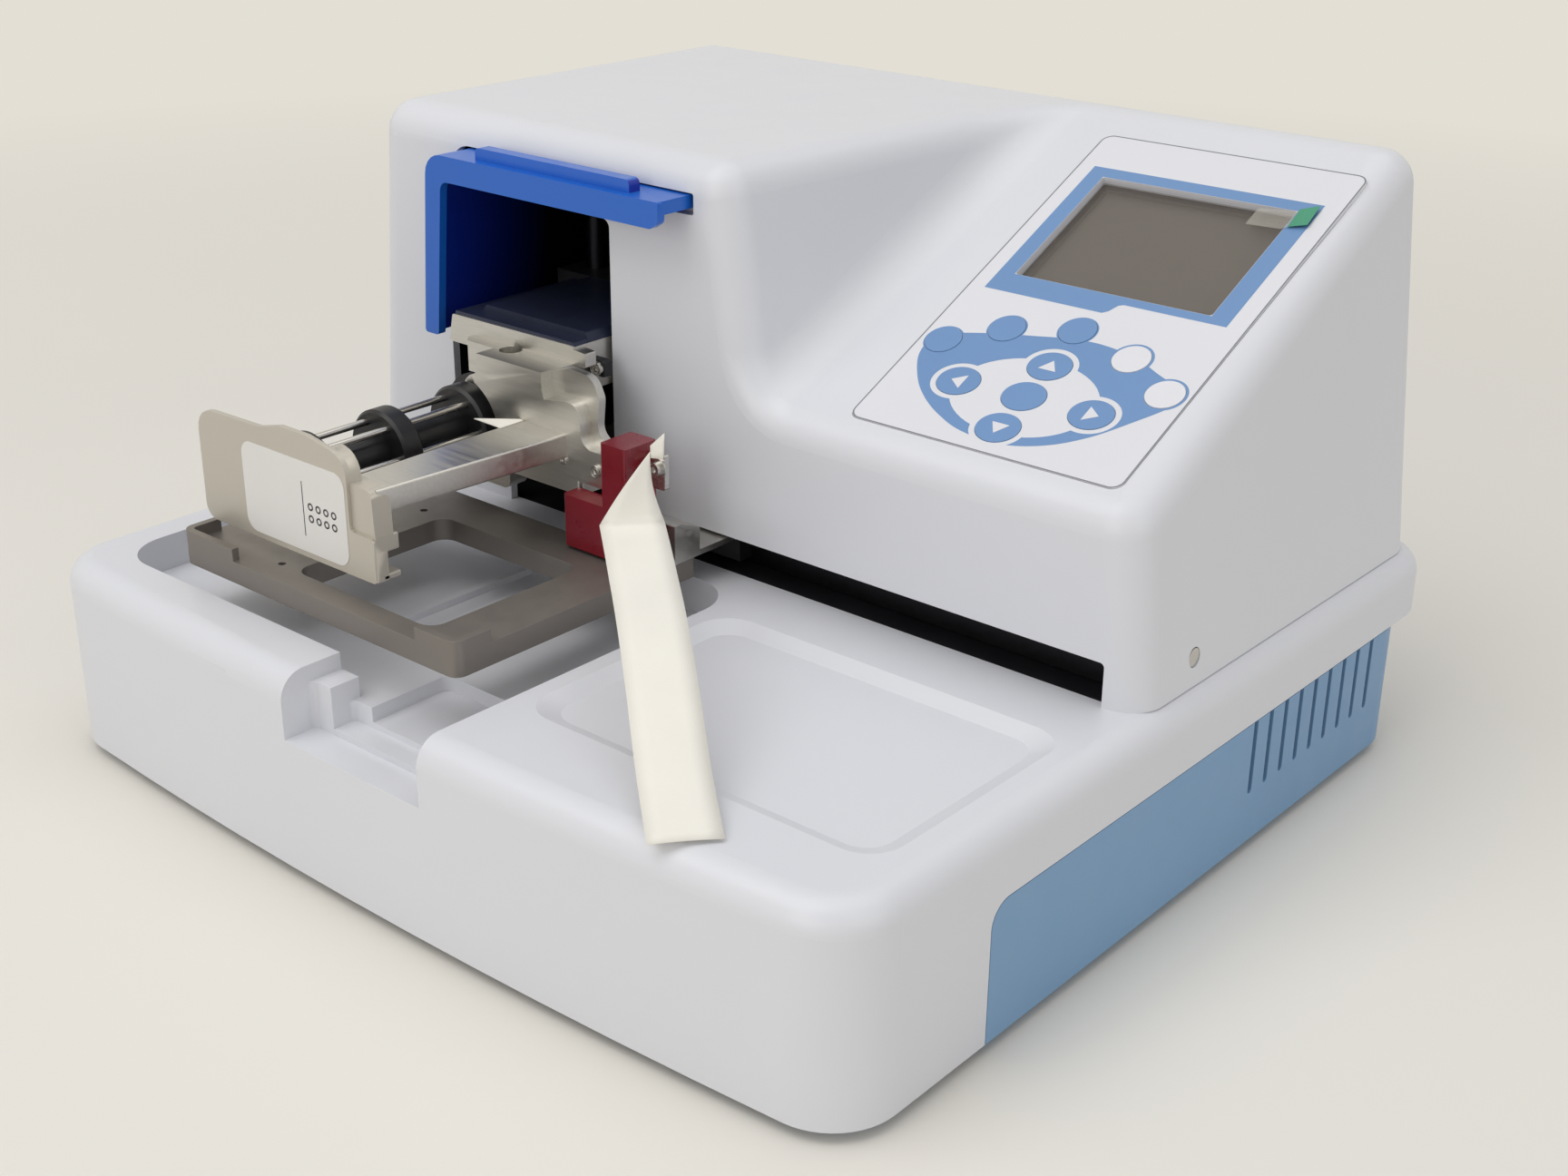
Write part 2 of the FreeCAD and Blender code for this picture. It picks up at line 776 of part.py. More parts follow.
def slope_oval(name, across, up, start, end, long, short):
    long, short, length = as_size(long), as_size(short), as_size(end) - start
    edge = doc.addObject("Part::Ellipse", f"{name}_outline")
    for prop, size in (("MajorRadius", long), ("MinorRadius", short)):
        setattr(edge, prop, size.value)
        bind(edge, prop, size)
    on_slope(edge, as_size(across), as_size(up), as_size(start))
    solid = doc.addObject("Part::Extrusion", name)
    solid.Base = edge
    solid.DirMode = "Normal"
    solid.Solid = True
    solid.LengthFwd = length.value
    bind(solid, "LengthFwd", length)
    return solid


KEYS = {
    "key_ok": ("oval", 0.0, 26.5),
    "key_up": ("oval", 0.0, 41.5),
    "key_down": ("oval", 0.3, 11.3),
    "key_left": ("oval", -24.5, 26.0),
    "key_right": ("oval", 24.8, 26.0),
    "key_stop": ("round", 22.9, 52.7),
    "key_start": ("round", 41.3, 41.5),
    "key_function_left": ("round", -41.4, 42.0),
    "key_function_middle": ("round", -23.9, 53.3),
    "key_function_right": ("round", -0.8, 59.4),
}


def key_shape(name, kind, across, up, start, end, play):
    if kind == "oval":
        return slope_oval(name, across, up, start, end, d.key_long + play, d.key_short + play)
    return slope_rod(name, across, up, start, end, d.round_key + play)


pocket_floor = -d.panel_pocket
panel_face = d.panel_thickness - d.panel_pocket
key_top = panel_face + d.key_proud
key_under = key_top - d.key_thickness
dome_top = -d.board_depth + d.dome_height
stem_end = dome_top + d.key_travel + 0.05
window_sides = (d.window_left, d.window_right, d.window_bottom, d.window_top)

panel_recess = Piece("panel_recess")
panel_recess.pad("XY", pocket_floor, d.tower_round, rectangle(
    -d.panel_width / 2 - d.panel_play, d.panel_width / 2 + d.panel_play,
    -d.panel_play, d.panel_length + d.panel_play, d.panel_corner))
on_slope(panel_recess.body)
window_hole = Piece("window_hole")
window_hole.pad("XY", -2 * d.shell, d.tower_round, rectangle(
    d.window_left - d.panel_play, d.window_right + d.panel_play,
    d.window_bottom - d.panel_play, d.window_top + d.panel_play, 1))
on_slope(window_hole.body)
stem_holes = fuse("stem_holes", *[
    slope_rod("stem_hole", across, up, -2 * d.shell, 1, d.stem_radius + d.stem_play)
    for kind, across, up in KEYS.values()])
board_bosses = [
    slope_rod("board_boss", across, up, -d.board_depth, -d.shell / 2, 3)
    for across in (-46, 46) for up in (5, 63)]
side_holes = [
    rod("side_hole", "x", side * d.tower_foot_half - (0 if side < 0 else 2 * d.shell),
        d.side_screw_y, d.side_screw_z, d.side_screw_shank + 0.2, 2 * d.shell)
    for side in (-1, 1)]
side_face = d.tower_foot_half - draft * (d.side_screw_z - d.base_top)
head_seat = side_face - 1.6
side_sinks = [
    rod("side_sink", "x", head_seat if side > 0 else -head_seat - 8,
        d.side_screw_y, d.side_screw_z, d.side_screw_head + 0.3, 8)
    for side in (-1, 1)]
tower_shell = cut("tower_shell", tower_outer.body, tower_inner.body)
tower_bossed = fuse("tower_bossed", tower_shell, *board_bosses)
panel_cuts = fuse("panel_cuts", panel_recess.body, window_hole.body, stem_holes, *side_holes, *side_sinks,
                  refine=False)
node("tower_cover", cut("tower_cover", tower_bossed, panel_cuts, openings.body))
node("tower_screws", group("tower_screws", *[
    fuse("tower_screw",
         rod("screw_head", "x", head_seat if side > 0 else -head_seat - 1.4,
             d.side_screw_y, d.side_screw_z, d.side_screw_head, 1.4),
         rod("screw_shank", "x", side * head_seat - (8 if side > 0 else 0),
             d.side_screw_y, d.side_screw_z, d.side_screw_shank, 8))
    for side in (-1, 1)]))

# Keypad panel, window, display, board and keys

panel = Piece("panel_plate")
panel.pad("XY", pocket_floor, panel_face, rectangle(
    -d.panel_width / 2, d.panel_width / 2, 0, d.panel_length, d.panel_corner - d.panel_play))
panel.pocket("XY", d.tower_round, -d.tower_round, rectangle(*window_sides, 1))
on_slope(panel.body)
key_holes = fuse("key_holes", *[
    key_shape(f"{name}_hole", *spec, pocket_floor - 1, panel_face + 1, d.key_play)
    for name, spec in KEYS.items()])
node("keypad_panel", cut("keypad_panel", panel.body, key_holes))

window_top_face = -d.window_depth
window_back = window_top_face - d.window_thickness
window = Piece("display_window")
window.pad("XY", window_back, window_top_face, rectangle(*window_sides, 0.8))
on_slope(window.body)
node("display_window", window.body)

display = Piece("display_module")
display_back = window_back - d.display_thickness
display.pad("XY", display_back, window_back, rectangle(
    d.window_left - d.display_margin, d.window_right + d.display_margin,
    d.window_bottom - d.display_margin, d.window_top + d.display_margin, 2))
display.pocket("XY", 0, window_back - 1.5, rectangle(
    d.window_left + 2, d.window_right - 2, d.window_bottom + 2, d.window_top - 2, 1))
on_slope(display.body)
node("display_module", display.body)

board = Piece("keypad_board_plate")
board.pad("XY", -d.board_depth - d.board_thickness, -d.board_depth, rectangle(-49, 49, 1, 66, 2))
on_slope(board.body)
node("keypad_board", fuse("keypad_board", board.body, *[
    slope_rod("dome_switch", across, up, -d.board_depth - 0.5, dome_top, 3)
    for kind, across, up in KEYS.values()]))

for name, (kind, across, up) in KEYS.items():
    node(name, fuse(
        name,
        key_shape(f"{name}_cap", kind, across, up, key_under, key_top, 0),
        slope_rod(f"{name}_stem", across, up, stem_end, key_under + 0.5, d.stem_radius)))

# Sliding rotor cover: bent shell with a raised rim and a grip on top

cover_length = d.cover_back - d.cover_front
rim_back = d.cover_front + d.cover_rim
cover = Piece("rotor_cover")
cover.pad("XZ", d.cover_front, rim_back, [
    (cheek(d.cover_bottom, 0), d.cover_bottom, 2), (cheek(d.cover_top, 0), d.cover_top, d.cover_corner),
    (d.cover_right, d.cover_top, 1), (d.cover_right, d.cover_top - d.cover_band + 1.4, 3),
    (d.cover_right - 8, d.cover_top - d.cover_band, 2),
    (cheek(d.cover_top, d.cover_cheek), d.cover_top - d.cover_band, d.cover_corner / 2),
    (cheek(d.cover_bottom, d.cover_cheek), d.cover_bottom, 2)])
cover.pad("XZ", rim_back - 0.5, d.cover_back, [
    (cheek(d.cover_bottom, 0), d.cover_bottom), (cheek(d.cover_top, 0), d.cover_top, d.cover_corner),
    (d.cover_right, d.cover_top), (d.cover_right, d.cover_slab_bottom),
    (cheek(d.cover_slab_bottom, d.cover_wall), d.cover_slab_bottom, d.cover_corner - d.cover_wall),
    (cheek(d.cover_bottom, d.cover_wall), d.cover_bottom)])
cover.pad("XY", d.cover_top - 1, d.grip_top, rectangle(
    d.grip_left, d.grip_right, d.cover_front, rim_back + 3, 1.5))
node("rotor_cover", cover.body)

# Rails that carry the cover inside the tower, and the dark liner of the pump bay

liner_left = d.bay_left - 3
liner_sheet = 1.5
rail_front = d.tower_front + d.shell
node("pump_bay_liner", fuse(
    "pump_bay_liner",
    box("liner_left", liner_left, liner_left + liner_sheet, rail_front, d.bay_back + liner_sheet,
        d.base_top, d.cover_top - 3),
    box("liner_right", d.bay_right + 1.6, d.bay_right + 1.6 + liner_sheet, rail_front,
        d.bay_back + liner_sheet, d.base_top, d.cover_slot_bottom - 1),
    box("liner_back", liner_left, d.bay_right + 1.6 + liner_sheet, d.bay_back,
        d.bay_back + liner_sheet, d.base_top, d.cover_slot_bottom - 1)))
node("cover_rails", group(
    "cover_rails",
    box("rail_low", liner_left + liner_sheet, d.cover_left_low + 4, rail_front, d.bay_back,
        d.cover_bottom - 4, d.cover_bottom - d.seam),
    box("rail_high", d.cover_right - 6, d.cover_right + 5, rail_front, d.bay_back,
        d.cover_slab_bottom - 3, d.cover_slab_bottom - d.seam)))

# Pump head: rear plate with hook and rotor seat

plate_front, plate_back = d.rear_plate_front, d.rear_plate_back
hook_face = plate_front + 5
rear = Piece("pump_rear_plate")
rear.pad("XZ", plate_front, plate_back, [
    (d.rear_plate_left, d.rotor_bottom, 3), (d.rear_plate_left, d.rear_plate_top, 1.5),
    (-41.7, d.rear_plate_top), (-36.4, 140.7, 2), (-25.5, 140.2, 7), (-22.3, 133.0, 4),
    (-23.5, 121.5, 5), (-17.2, 116.9, 1), (-12.7, 114.4, 0.5), (-12.7, 107.0, 0.5),
    (-16.9, d.rear_plate_bottom, 0.5), (d.lower_plate_left, d.rear_plate_bottom),
    (d.lower_plate_left, d.rotor_bottom, 3)])
rear.pocket("XZ", plate_front - 1, hook_face, [
    (-43.4, 129.6), (-33.0, 131.2, 1), (-28.2, 130.8, 4), (-26.4, 124.5, 6), (-26.4, 118.8, 4),
    (-22.5, 116.6), (0, 116.6), (0, 150), (-44.4, 150), (-44.4, 133)])
rear.pocket("XZ", plate_front - 1, plate_front + 6, (d.rotor_x, d.rotor_z, d.disc_radius + 4.2))
rear.pocket("XZ", plate_front - 1, 0, (d.rotor_x, d.rotor_z, d.rotor_shaft_radius + 3))
rear.pad("XY", d.lower_plate_bottom, d.rear_plate_bottom + 0.5, rectangle(
    d.lower_plate_left + 0.1, -27.1, plate_front, plate_back + 18, 2))
node("pump_rear_plate", rear.body)

# Upper block with its lug

block = Piece("pump_upper_block")
block.pad("XY", d.rear_plate_top - 1, d.block_top, rectangle(
    d.block_left, d.block_right, d.block_front, d.block_back, 2))
block.pad("XZ", plate_back, -24, [
    (d.block_right - 3, d.rear_plate_top), (-29.9, d.rear_plate_top), (-29.9, d.block_top - 3, 1),
    (-34.5, d.block_top - 0.5, 1.5), (d.block_right - 3, d.block_top - 0.5)])
block.pad("XY", d.block_top - 1, d.block_top + 2.5, rectangle(
    d.block_left + 5, d.block_right - 3, -29, d.block_back, 1))
block.pad("XY", d.rotor_z + d.motor_radius + d.seam, d.rear_plate_top, rectangle(
    d.rear_plate_left, d.block_right, plate_back, d.block_back, 1))
node("pump_upper_block", block.body)

def cap_screw(name, axis_x, axis_z, seat, head_radius, head_height):
    """Socket screw head that stands on a face and looks to the front."""
    head = rod(f"{name}_head", "y", axis_x, seat - head_height, axis_z, head_radius, head_height)
    socket = rod(f"{name}_socket", "y", axis_x, seat - head_height - 1, axis_z, head_radius * 0.5,
                 head_height * 0.5 + 1)
    return cut(name, head, socket)


node("pump_screws", group(
    "pump_screws",
    cap_screw("lug_screw", as_size(-35.0), as_size(143.8), plate_back, as_size(2.6), as_size(1.6)),
    cap_screw("foot_screw_left", as_size(-31.8), as_size(110.6), plate_front, as_size(1.6), as_size(0.6)),
    cap_screw("foot_screw_right", as_size(-19.5), as_size(109.6), plate_front, as_size(2.2), as_size(1.0))))

# Front plate: outline with two lobes, and a notched foot at its right end

front_back = d.front_plate_front + d.front_plate_thickness
front = Piece("pump_front_plate")
front.pad("XZ", d.front_plate_front, front_back, [
    (-126.4, 89.5, 3), (-126.4, 128.3, 8), (-93, 129.0, 8), (-82, 131.8, 8), (-68, 131.8, 8),
    (-49.5, 128.6, 8), (-49.5, 104.5, 3), (-38.7, 104.5, 2), (-38.7, 89.5, 0.8)])
front.pad("XZ", front_back - 0.5, front_back + 4, rectangle(-49.5, -38.7, 89.5, 104.5, 0.8))
front.pocket("XZ", d.front_plate_front - 1, front_back + 6, rectangle(-42.7, -30, 96.5, 101.5, 0.5))
front.pocket("XZ", front_back + 6, front_back - 3, (d.rotor_x, d.rotor_z, d.rotor_shaft_radius + d.fit_play))
node("pump_front_plate", front.body)

label = Piece("pump_label")
label.pad("XZ", d.front_plate_front - 0.2, d.front_plate_front, rectangle(-103.2, -50.8, 91.5, 122.7, 5))
node("pump_label", label.body)

bar = Piece("tension_bar")
bar.pad("XZ", front_back, plate_front, rectangle(d.bar_left, d.bar_right, d.bar_bottom, d.bar_top, 0.8))
node("tension_bar", bar.body)

# Rotor: shaft, three discs on a hub and six roller rods

shaft_front = front_back - 2.9
motor_front = plate_back
node("rotor_shaft", rod("rotor_shaft", "y", d.rotor_x, shaft_front, d.rotor_z, d.rotor_shaft_radius,
                        motor_front + 10 - shaft_front))
roller_places = []
for i in range(int(SIZES["roller_count"])):
    turn = Size(360.0 * i / SIZES["roller_count"], f"(360 * {i} / Sizes.roller_count)")
    roller_places.append((d.rotor_x + d.roller_circle * cosine(turn), d.rotor_z + d.roller_circle * sine(turn)))
drum_end = d.first_disc + 2 * d.disc_pitch + d.disc_thickness
drum = Piece("rotor_discs")
drum.pad("XZ", d.first_disc, drum_end, (d.rotor_x, d.rotor_z, d.hub_radius))
for i in range(3):
    disc_front = d.first_disc + i * d.disc_pitch
    drum.pad("XZ", disc_front, disc_front + d.disc_thickness, (d.rotor_x, d.rotor_z, d.disc_radius))
drum.chamfer(1.0, lambda edge: edge.Length > 60)
drum.pocket("XZ", d.first_disc - 1, drum_end + 1,
            (d.rotor_x, d.rotor_z, d.rotor_shaft_radius),
            *[(x, z, d.roller_radius + d.fit_play) for x, z in roller_places])
node("rotor_discs", drum.body)
roller_start = d.first_disc + 1
roller_length = 2 * d.disc_pitch + d.disc_thickness - 2
for i, (x, z) in enumerate(roller_places, 1):
    node(f"roller_{i}", rod(f"roller_{i}", "y", x, roller_start, z, d.roller_radius, roller_length))
node("rotor_bearing", cut(
    "rotor_bearing",
    rod("bearing_ring", "y", d.rotor_x, plate_front + 6, d.rotor_z, d.rotor_shaft_radius + 3,
        plate_back - plate_front - 6),
    rod("bearing_bore", "y", d.rotor_x, plate_front, d.rotor_z, d.rotor_shaft_radius + d.fit_play, 20)))

# Pump motor, head carriage, guide columns and lift drive inside the tower

carriage_front = d.block_back
node("pump_motor", cut(
    "pump_motor",
    rod("motor_can", "y", d.rotor_x, motor_front, d.rotor_z, d.motor_radius, carriage_front - motor_front),
    rod("motor_bore", "y", d.rotor_x, motor_front - 1, d.rotor_z, d.rotor_shaft_radius + d.fit_play, 12.5)))

lift_x = (d.column_left + d.column_right) / 2
carriage_bottom = d.base_top + 32
head_block = box("head_block", d.column_left - 9, d.column_right + 9, carriage_front, d.column_y + 12,
                 carriage_bottom, d.block_top)
bore_reach = 200
node("head_carriage", cut(
    "head_carriage", head_block,
    *[rod("column_bore", "z", x, d.column_y, 0, radius, bore_reach) for x, radius in (
        (d.column_left, d.column_radius + d.fit_play), (d.column_right, d.column_radius + d.fit_play),
        (lift_x, d.lift_screw_radius + d.fit_play))]))
motor_half = 14
lift_bottom = d.base_top + 6
node("lift_motor", cut(
    "lift_motor",
    box("lift_motor_can", lift_x - motor_half, lift_x + motor_half, d.column_y - motor_half + 2.5,
        d.column_y + motor_half, lift_bottom, carriage_bottom),
    rod("lift_motor_bore", "z", lift_x, d.column_y, 0, d.lift_screw_radius + d.fit_play, bore_reach)))
lift_bars = ((d.column_left, d.column_radius), (d.column_right, d.column_radius), (lift_x, d.lift_screw_radius))


def lift_rods(name):
    return [rod(name, "z", x, d.column_y, d.base_top + 1, radius, d.column_top - d.base_top)
            for x, radius in lift_bars]


node("lift_guides", group("lift_guides", *lift_rods("lift_guide")))


def column_plate(name, bottom, top):
    blank = box(f"{name}_blank", d.column_left - 10, d.column_right + 10, d.column_y - 14, d.bay_back,
                bottom, top)
    return cut(name, blank, *lift_rods(f"{name}_bore"))


node("column_plates", group(
    "column_plates",
    column_plate("column_foot", d.base_top, d.base_top + 5),
    column_plate("column_head", d.column_top - 4, d.column_top + 2)))

# Plate carrier: frame with corner lips, tail and arm

opening_sides = (-108.0, -8.5, -125.0, -66.0)
carrier = Piece("plate_carrier")
carrier.pad("XY", d.carrier_bottom, d.carrier_top, [
    (d.carrier_left, d.carrier_front, d.carrier_corner), (d.carrier_right, d.carrier_front, d.carrier_corner),
    (d.carrier_right, d.carrier_tail_back, 1), (d.carrier_tail_left, d.carrier_tail_back, 2),
    (d.carrier_tail_left, d.carrier_back, 2), (d.carrier_left, d.carrier_back, d.carrier_corner)])
lip_top = d.carrier_top + d.carrier_lip
lip_sides = (
    (d.carrier_left, d.carrier_left + d.carrier_lip_length),
    (d.carrier_right - d.carrier_lip_length, d.carrier_right))
lip_ends = (
    (d.carrier_front, d.carrier_front + d.carrier_lip_length * 0.8),
    (d.carrier_back - d.carrier_lip_length * 0.8, d.carrier_back))
nest = (d.carrier_left + d.carrier_lip_width, d.carrier_right - d.carrier_lip_width,
        d.carrier_front + d.carrier_lip_width, d.carrier_back - d.carrier_lip_width)
for x0, x1 in lip_sides:
    for y0, y1 in lip_ends:
        carrier.pad("XY", d.carrier_top, lip_top, rectangle(x0, x1, y0, y1, d.carrier_corner))
carrier.pocket("XY", lip_top + 1, d.carrier_top, rectangle(*nest, 2))
carrier.pocket("XY", lip_top, 0, rectangle(*opening_sides, 6))
carrier.pocket("XY", d.carrier_top, d.carrier_top - d.arm_thickness, rectangle(
    d.carrier_tail_left + 6, d.carrier_right + 5, d.carrier_back + 1, 0))
carrier.pocket("XY", d.carrier_top, d.carrier_top - 4, (-83.2, -133.1, 1.2), (6.0, -133, 1.2), (-86, -59, 1.2))
node("plate_carrier", carrier.body)

arm_bottom = d.carrier_top - d.arm_thickness
rail_half = d.rail_width / 2
carriage_back = d.rail_y + rail_half + 6
arm = Piece("carrier_arm")
arm.pad("XY", arm_bottom, d.carrier_top, rectangle(
    d.carrier_tail_left + 6.2, d.carrier_right, d.carrier_back + 1.2, carriage_back, 1))
arm.pad("YZ", d.carrier_tail_left + 16, d.carrier_right, [
    (-46, d.carrier_top - 0.5), (-46, 96.5, 0.6), (-42.5, 96.5, 0.6), (-34, 93, 0.6), (-34, d.carrier_top - 0.5)])
node("carrier_arm", arm.body)

# Rail, carriage, belt and drive of the plate movement

x_block = box("x_block", d.carrier_tail_left, d.carrier_right, d.rail_y - rail_half - 6, carriage_back,
              d.base_top + 2.5, arm_bottom)
x_groove = box("x_groove", d.carrier_tail_left - 1, d.carrier_right + 1, d.rail_y - rail_half - 0.05,
               d.rail_y + rail_half + 0.05, 0, d.rail_top + 0.3)
belt_clamp = box("belt_clamp", d.carrier_tail_left + 8, d.carrier_right - 8, carriage_back - 1,
                 d.pulley_y - d.pulley_radius - d.belt_thickness - d.seam, d.base_top + 2.5, arm_bottom)
node("x_carriage", cut("x_carriage", fuse("x_body", x_block, belt_clamp), x_groove))
rail = Piece("x_rail")
rail.pad("YZ", d.rail_left, rail_right, rectangle(
    d.rail_y - rail_half, d.rail_y + rail_half, d.base_top, d.rail_top, 0.5))
node("x_rail", rail.body)
pulley_bottom = d.base_top + d.seam
pulley_height = d.belt_width + 4
for side, x in (("left", d.pulley_left), ("right", pulley_right)):
    wheel = Piece(f"pulley_{side}")
    wheel.pad("XY", pulley_bottom, pulley_bottom + pulley_height, (x, d.pulley_y, d.pulley_radius))
    wheel.pocket("XY", pulley_bottom + pulley_height, pulley_bottom - 1,
                 (x, d.pulley_y, d.axle_radius + d.fit_play))
    node(f"pulley_{side}", wheel.body)
axle_top = pulley_bottom + pulley_height + 1
node("idler_pin", rod("idler_pin", "z", d.pulley_left, d.pulley_y, d.base_top, d.axle_radius,
                      axle_top - d.base_top))
motor_top = tray_floor - d.shell
motor_side = d.x_motor_width / 2
node("x_motor", fuse(
    "x_motor",
    box("x_motor_can", pulley_right - motor_side, pulley_right + motor_side,
        d.pulley_y - motor_side, d.pulley_y + motor_side, motor_top - d.x_motor_height, motor_top),
    rod("x_motor_shaft", "z", pulley_right, d.pulley_y, motor_top - 1, d.axle_radius,
        axle_top - motor_top + 1)))
belt_bottom = pulley_bottom + 2
belt_outer = d.pulley_radius + d.belt_thickness
belt = Piece("drive_belt")
belt.pad("XY", belt_bottom, belt_bottom + d.belt_width, rectangle(
    d.pulley_left - belt_outer, pulley_right + belt_outer,
    d.pulley_y - belt_outer, d.pulley_y + belt_outer, belt_outer * 0.999))
belt.pocket("XY", d.tower_top, 0, rectangle(
    d.pulley_left - d.pulley_radius, pulley_right + d.pulley_radius,
    d.pulley_y - d.pulley_radius, d.pulley_y + d.pulley_radius, d.pulley_radius * 0.999))
node("drive_belt", belt.body)

# Transport lock on the carrier, its bracket and screw, and the paper tag

lock = Piece("transport_lock")
lock.pad("XY", d.carrier_top, d.lock_shelf, rectangle(d.lock_left, d.lock_right, d.lock_front, d.lock_back, 1.5))
lock.pad("XY", d.lock_shelf - 1, d.lock_top, rectangle(
    d.lock_post_left, d.lock_post_right, d.lock_front, d.lock_post_back, 1))
node("transport_lock", lock.body)

bracket = Piece("lock_bracket")
bracket_right = d.lock_post_right + d.bracket_width
bracket_top = d.lock_top - d.bracket_drop
bracket.pad("XZ", d.bracket_front, d.bracket_front + 2, rectangle(
    d.lock_post_right, bracket_right, bracket_top - 12, bracket_top, 0.8))
node("lock_bracket", bracket.body)
screw_x, screw_z = (d.lock_post_right + bracket_right) / 2 + 0.9, bracket_top - 4.6
washer_front = d.bracket_front - 0.6
node("lock_screw", fuse(
    "lock_screw",
    rod("lock_washer", "y", screw_x, washer_front, screw_z, 3.4, 0.6),
    cut("lock_screw_cap",
        rod("lock_screw_head", "y", screw_x, washer_front - 2.1, screw_z, 2.4, 2.3),
        rod("lock_screw_socket", "y", screw_x, washer_front - 3, screw_z, 1.2, 2.2))))

tag_half = d.tag_width / 2
tag_side = Vector(11.8, 17.2, 0).normalize() * tag_half.value


def tag_section(x, y, z, side):
    thick = Vector(0, 0, SIZES["tag_thickness"])
    centre = Vector(x, y, z)
    points = [centre - side, centre + side, centre + side + thick, centre - side + thick]
    return Part.makePolygon(points + points[:1])


tag = doc.addObject("Part::Feature", "paper_tag")
tag.Shape = Part.makeLoft([
    tag_section(119.9, -159.3, 72.2, tag_side),
    tag_section(53.5, -100.0, 84.5, tag_side),
    tag_section(20.0, -73.0, 95.0, tag_side),
    tag_section(8.0, -63.5, 106.0, tag_side * 0.6)], True, True)
node("paper_tag", tag)

# Connectors, boards and supply

connector_front = case_wall_back - 14
entry_left = d.inlet_x - d.inlet_width / 2
entry_right = d.switch_x + d.switch_width / 2
entry_bottom, entry_top = d.port_z - d.inlet_height / 2, d.port_z + d.inlet_height / 2
entry = Piece("power_entry")
entry.pad("XZ", connector_front, case_back, rectangle(
    entry_left + 0.1, entry_right - 0.1, entry_bottom + 0.1, entry_top - 0.1, 2))
entry.pocket("XZ", case_back + 1, case_back - 14, rectangle(
    d.inlet_x - 11, d.inlet_x + 11, d.port_z - 7, d.port_z + 7, 3))
for shift in (-6, 0, 6):
    entry.pad("XZ", case_back - 14.5, case_back - 3, rectangle(
        d.inlet_x + shift - 1, d.inlet_x + shift + 1, d.port_z - 2, d.port_z + 2, 0.3))
entry.pocket("XZ", case_back + 1, case_back - 9, rectangle(
    d.switch_x - d.switch_width / 2 + 1.6, d.switch_x + d.switch_width / 2 - 1.6,
    d.port_z - d.switch_height / 2 + 1.6, d.port_z + d.switch_height / 2 - 1.6, 0.5))
node("power_entry", entry.body)
rocker_radius = d.switch_width / 2 - 2.1
rocker_side = d.switch_height / 2 - 1.9
rocker = Piece("power_switch")
rocker.pad("XY", d.port_z - rocker_side, d.port_z + rocker_side, (d.switch_x, case_back, rocker_radius))
rocker.pocket("XY", d.port_z + 2 * rocker_side, d.port_z - 2 * rocker_side, [
    (d.switch_x - rocker_radius, case_back - d.rocker_rise), (d.switch_x, case_back - 0.5),
    (d.switch_x + rocker_radius, case_back + d.rocker_rise),
    (d.switch_x + rocker_radius, case_back + 2 * rocker_radius),
    (d.switch_x - 2 * rocker_radius, case_back + 2 * rocker_radius),
    (d.switch_x - 2 * rocker_radius, case_back - d.rocker_rise)])
node("power_switch", rocker.body)

serial = Piece("serial_port")
serial.pad("XZ", connector_front, case_back + 2, rectangle(
    d.serial_x - d.serial_width / 2 + 0.1, d.serial_x + d.serial_width / 2 - 0.1,
    d.port_z - d.serial_height / 2 + 0.1, d.port_z + d.serial_height / 2 - 0.1, 2))
serial.pocket("XZ", case_back + 3, case_back - 4, rectangle(
    d.serial_x - d.serial_width / 2 + 1.5, d.serial_x + d.serial_width / 2 - 1.5,
    d.port_z - d.serial_height / 2 + 1.5, d.port_z + d.serial_height / 2 - 1.5, 2))
node("serial_port", serial.body)

floor_top = d.foot_height + d.shell
node("power_supply", box("power_supply", -150, -60, 30, 120, floor_top, floor_top + 32))
main_board = box("main_board", -20, 150, 20, 135, floor_top + 8, floor_top + 9.6)
node("circuit_board", fuse("circuit_board", main_board, *[
    rod("board_post", "z", x, y, floor_top, 3, 8.5) for x in (-12, 142) for y in (28, 127)]))

# Checks, then one file for each piece

doc.recompute()
failures = [f"{obj.Name}: {obj.getStatusString()}" for obj in doc.Objects
            if any(word in obj.State for word in ("Invalid", "Error"))]
if failures:
    raise RuntimeError("\n".join(failures))
for feature, before in cuts_to_check:
    if feature.Shape.Volume >= before.Shape.Volume - 1e-6:
        raise RuntimeError(f"{feature.Name} cuts nothing")
os.makedirs("parts", exist_ok=True)
invalid = [name for name, obj in nodes.items() if obj.Shape.isNull() or not obj.Shape.isValid()]
if invalid:
    raise RuntimeError(f"not a valid shape: {invalid}")
for name, obj in nodes.items():
    obj.Shape.exportStep(f"parts/{name}.step")
print(f"{len(nodes)} pieces")
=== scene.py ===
import math

import bmesh
import bpy
from mathutils import Matrix, Vector, geometry


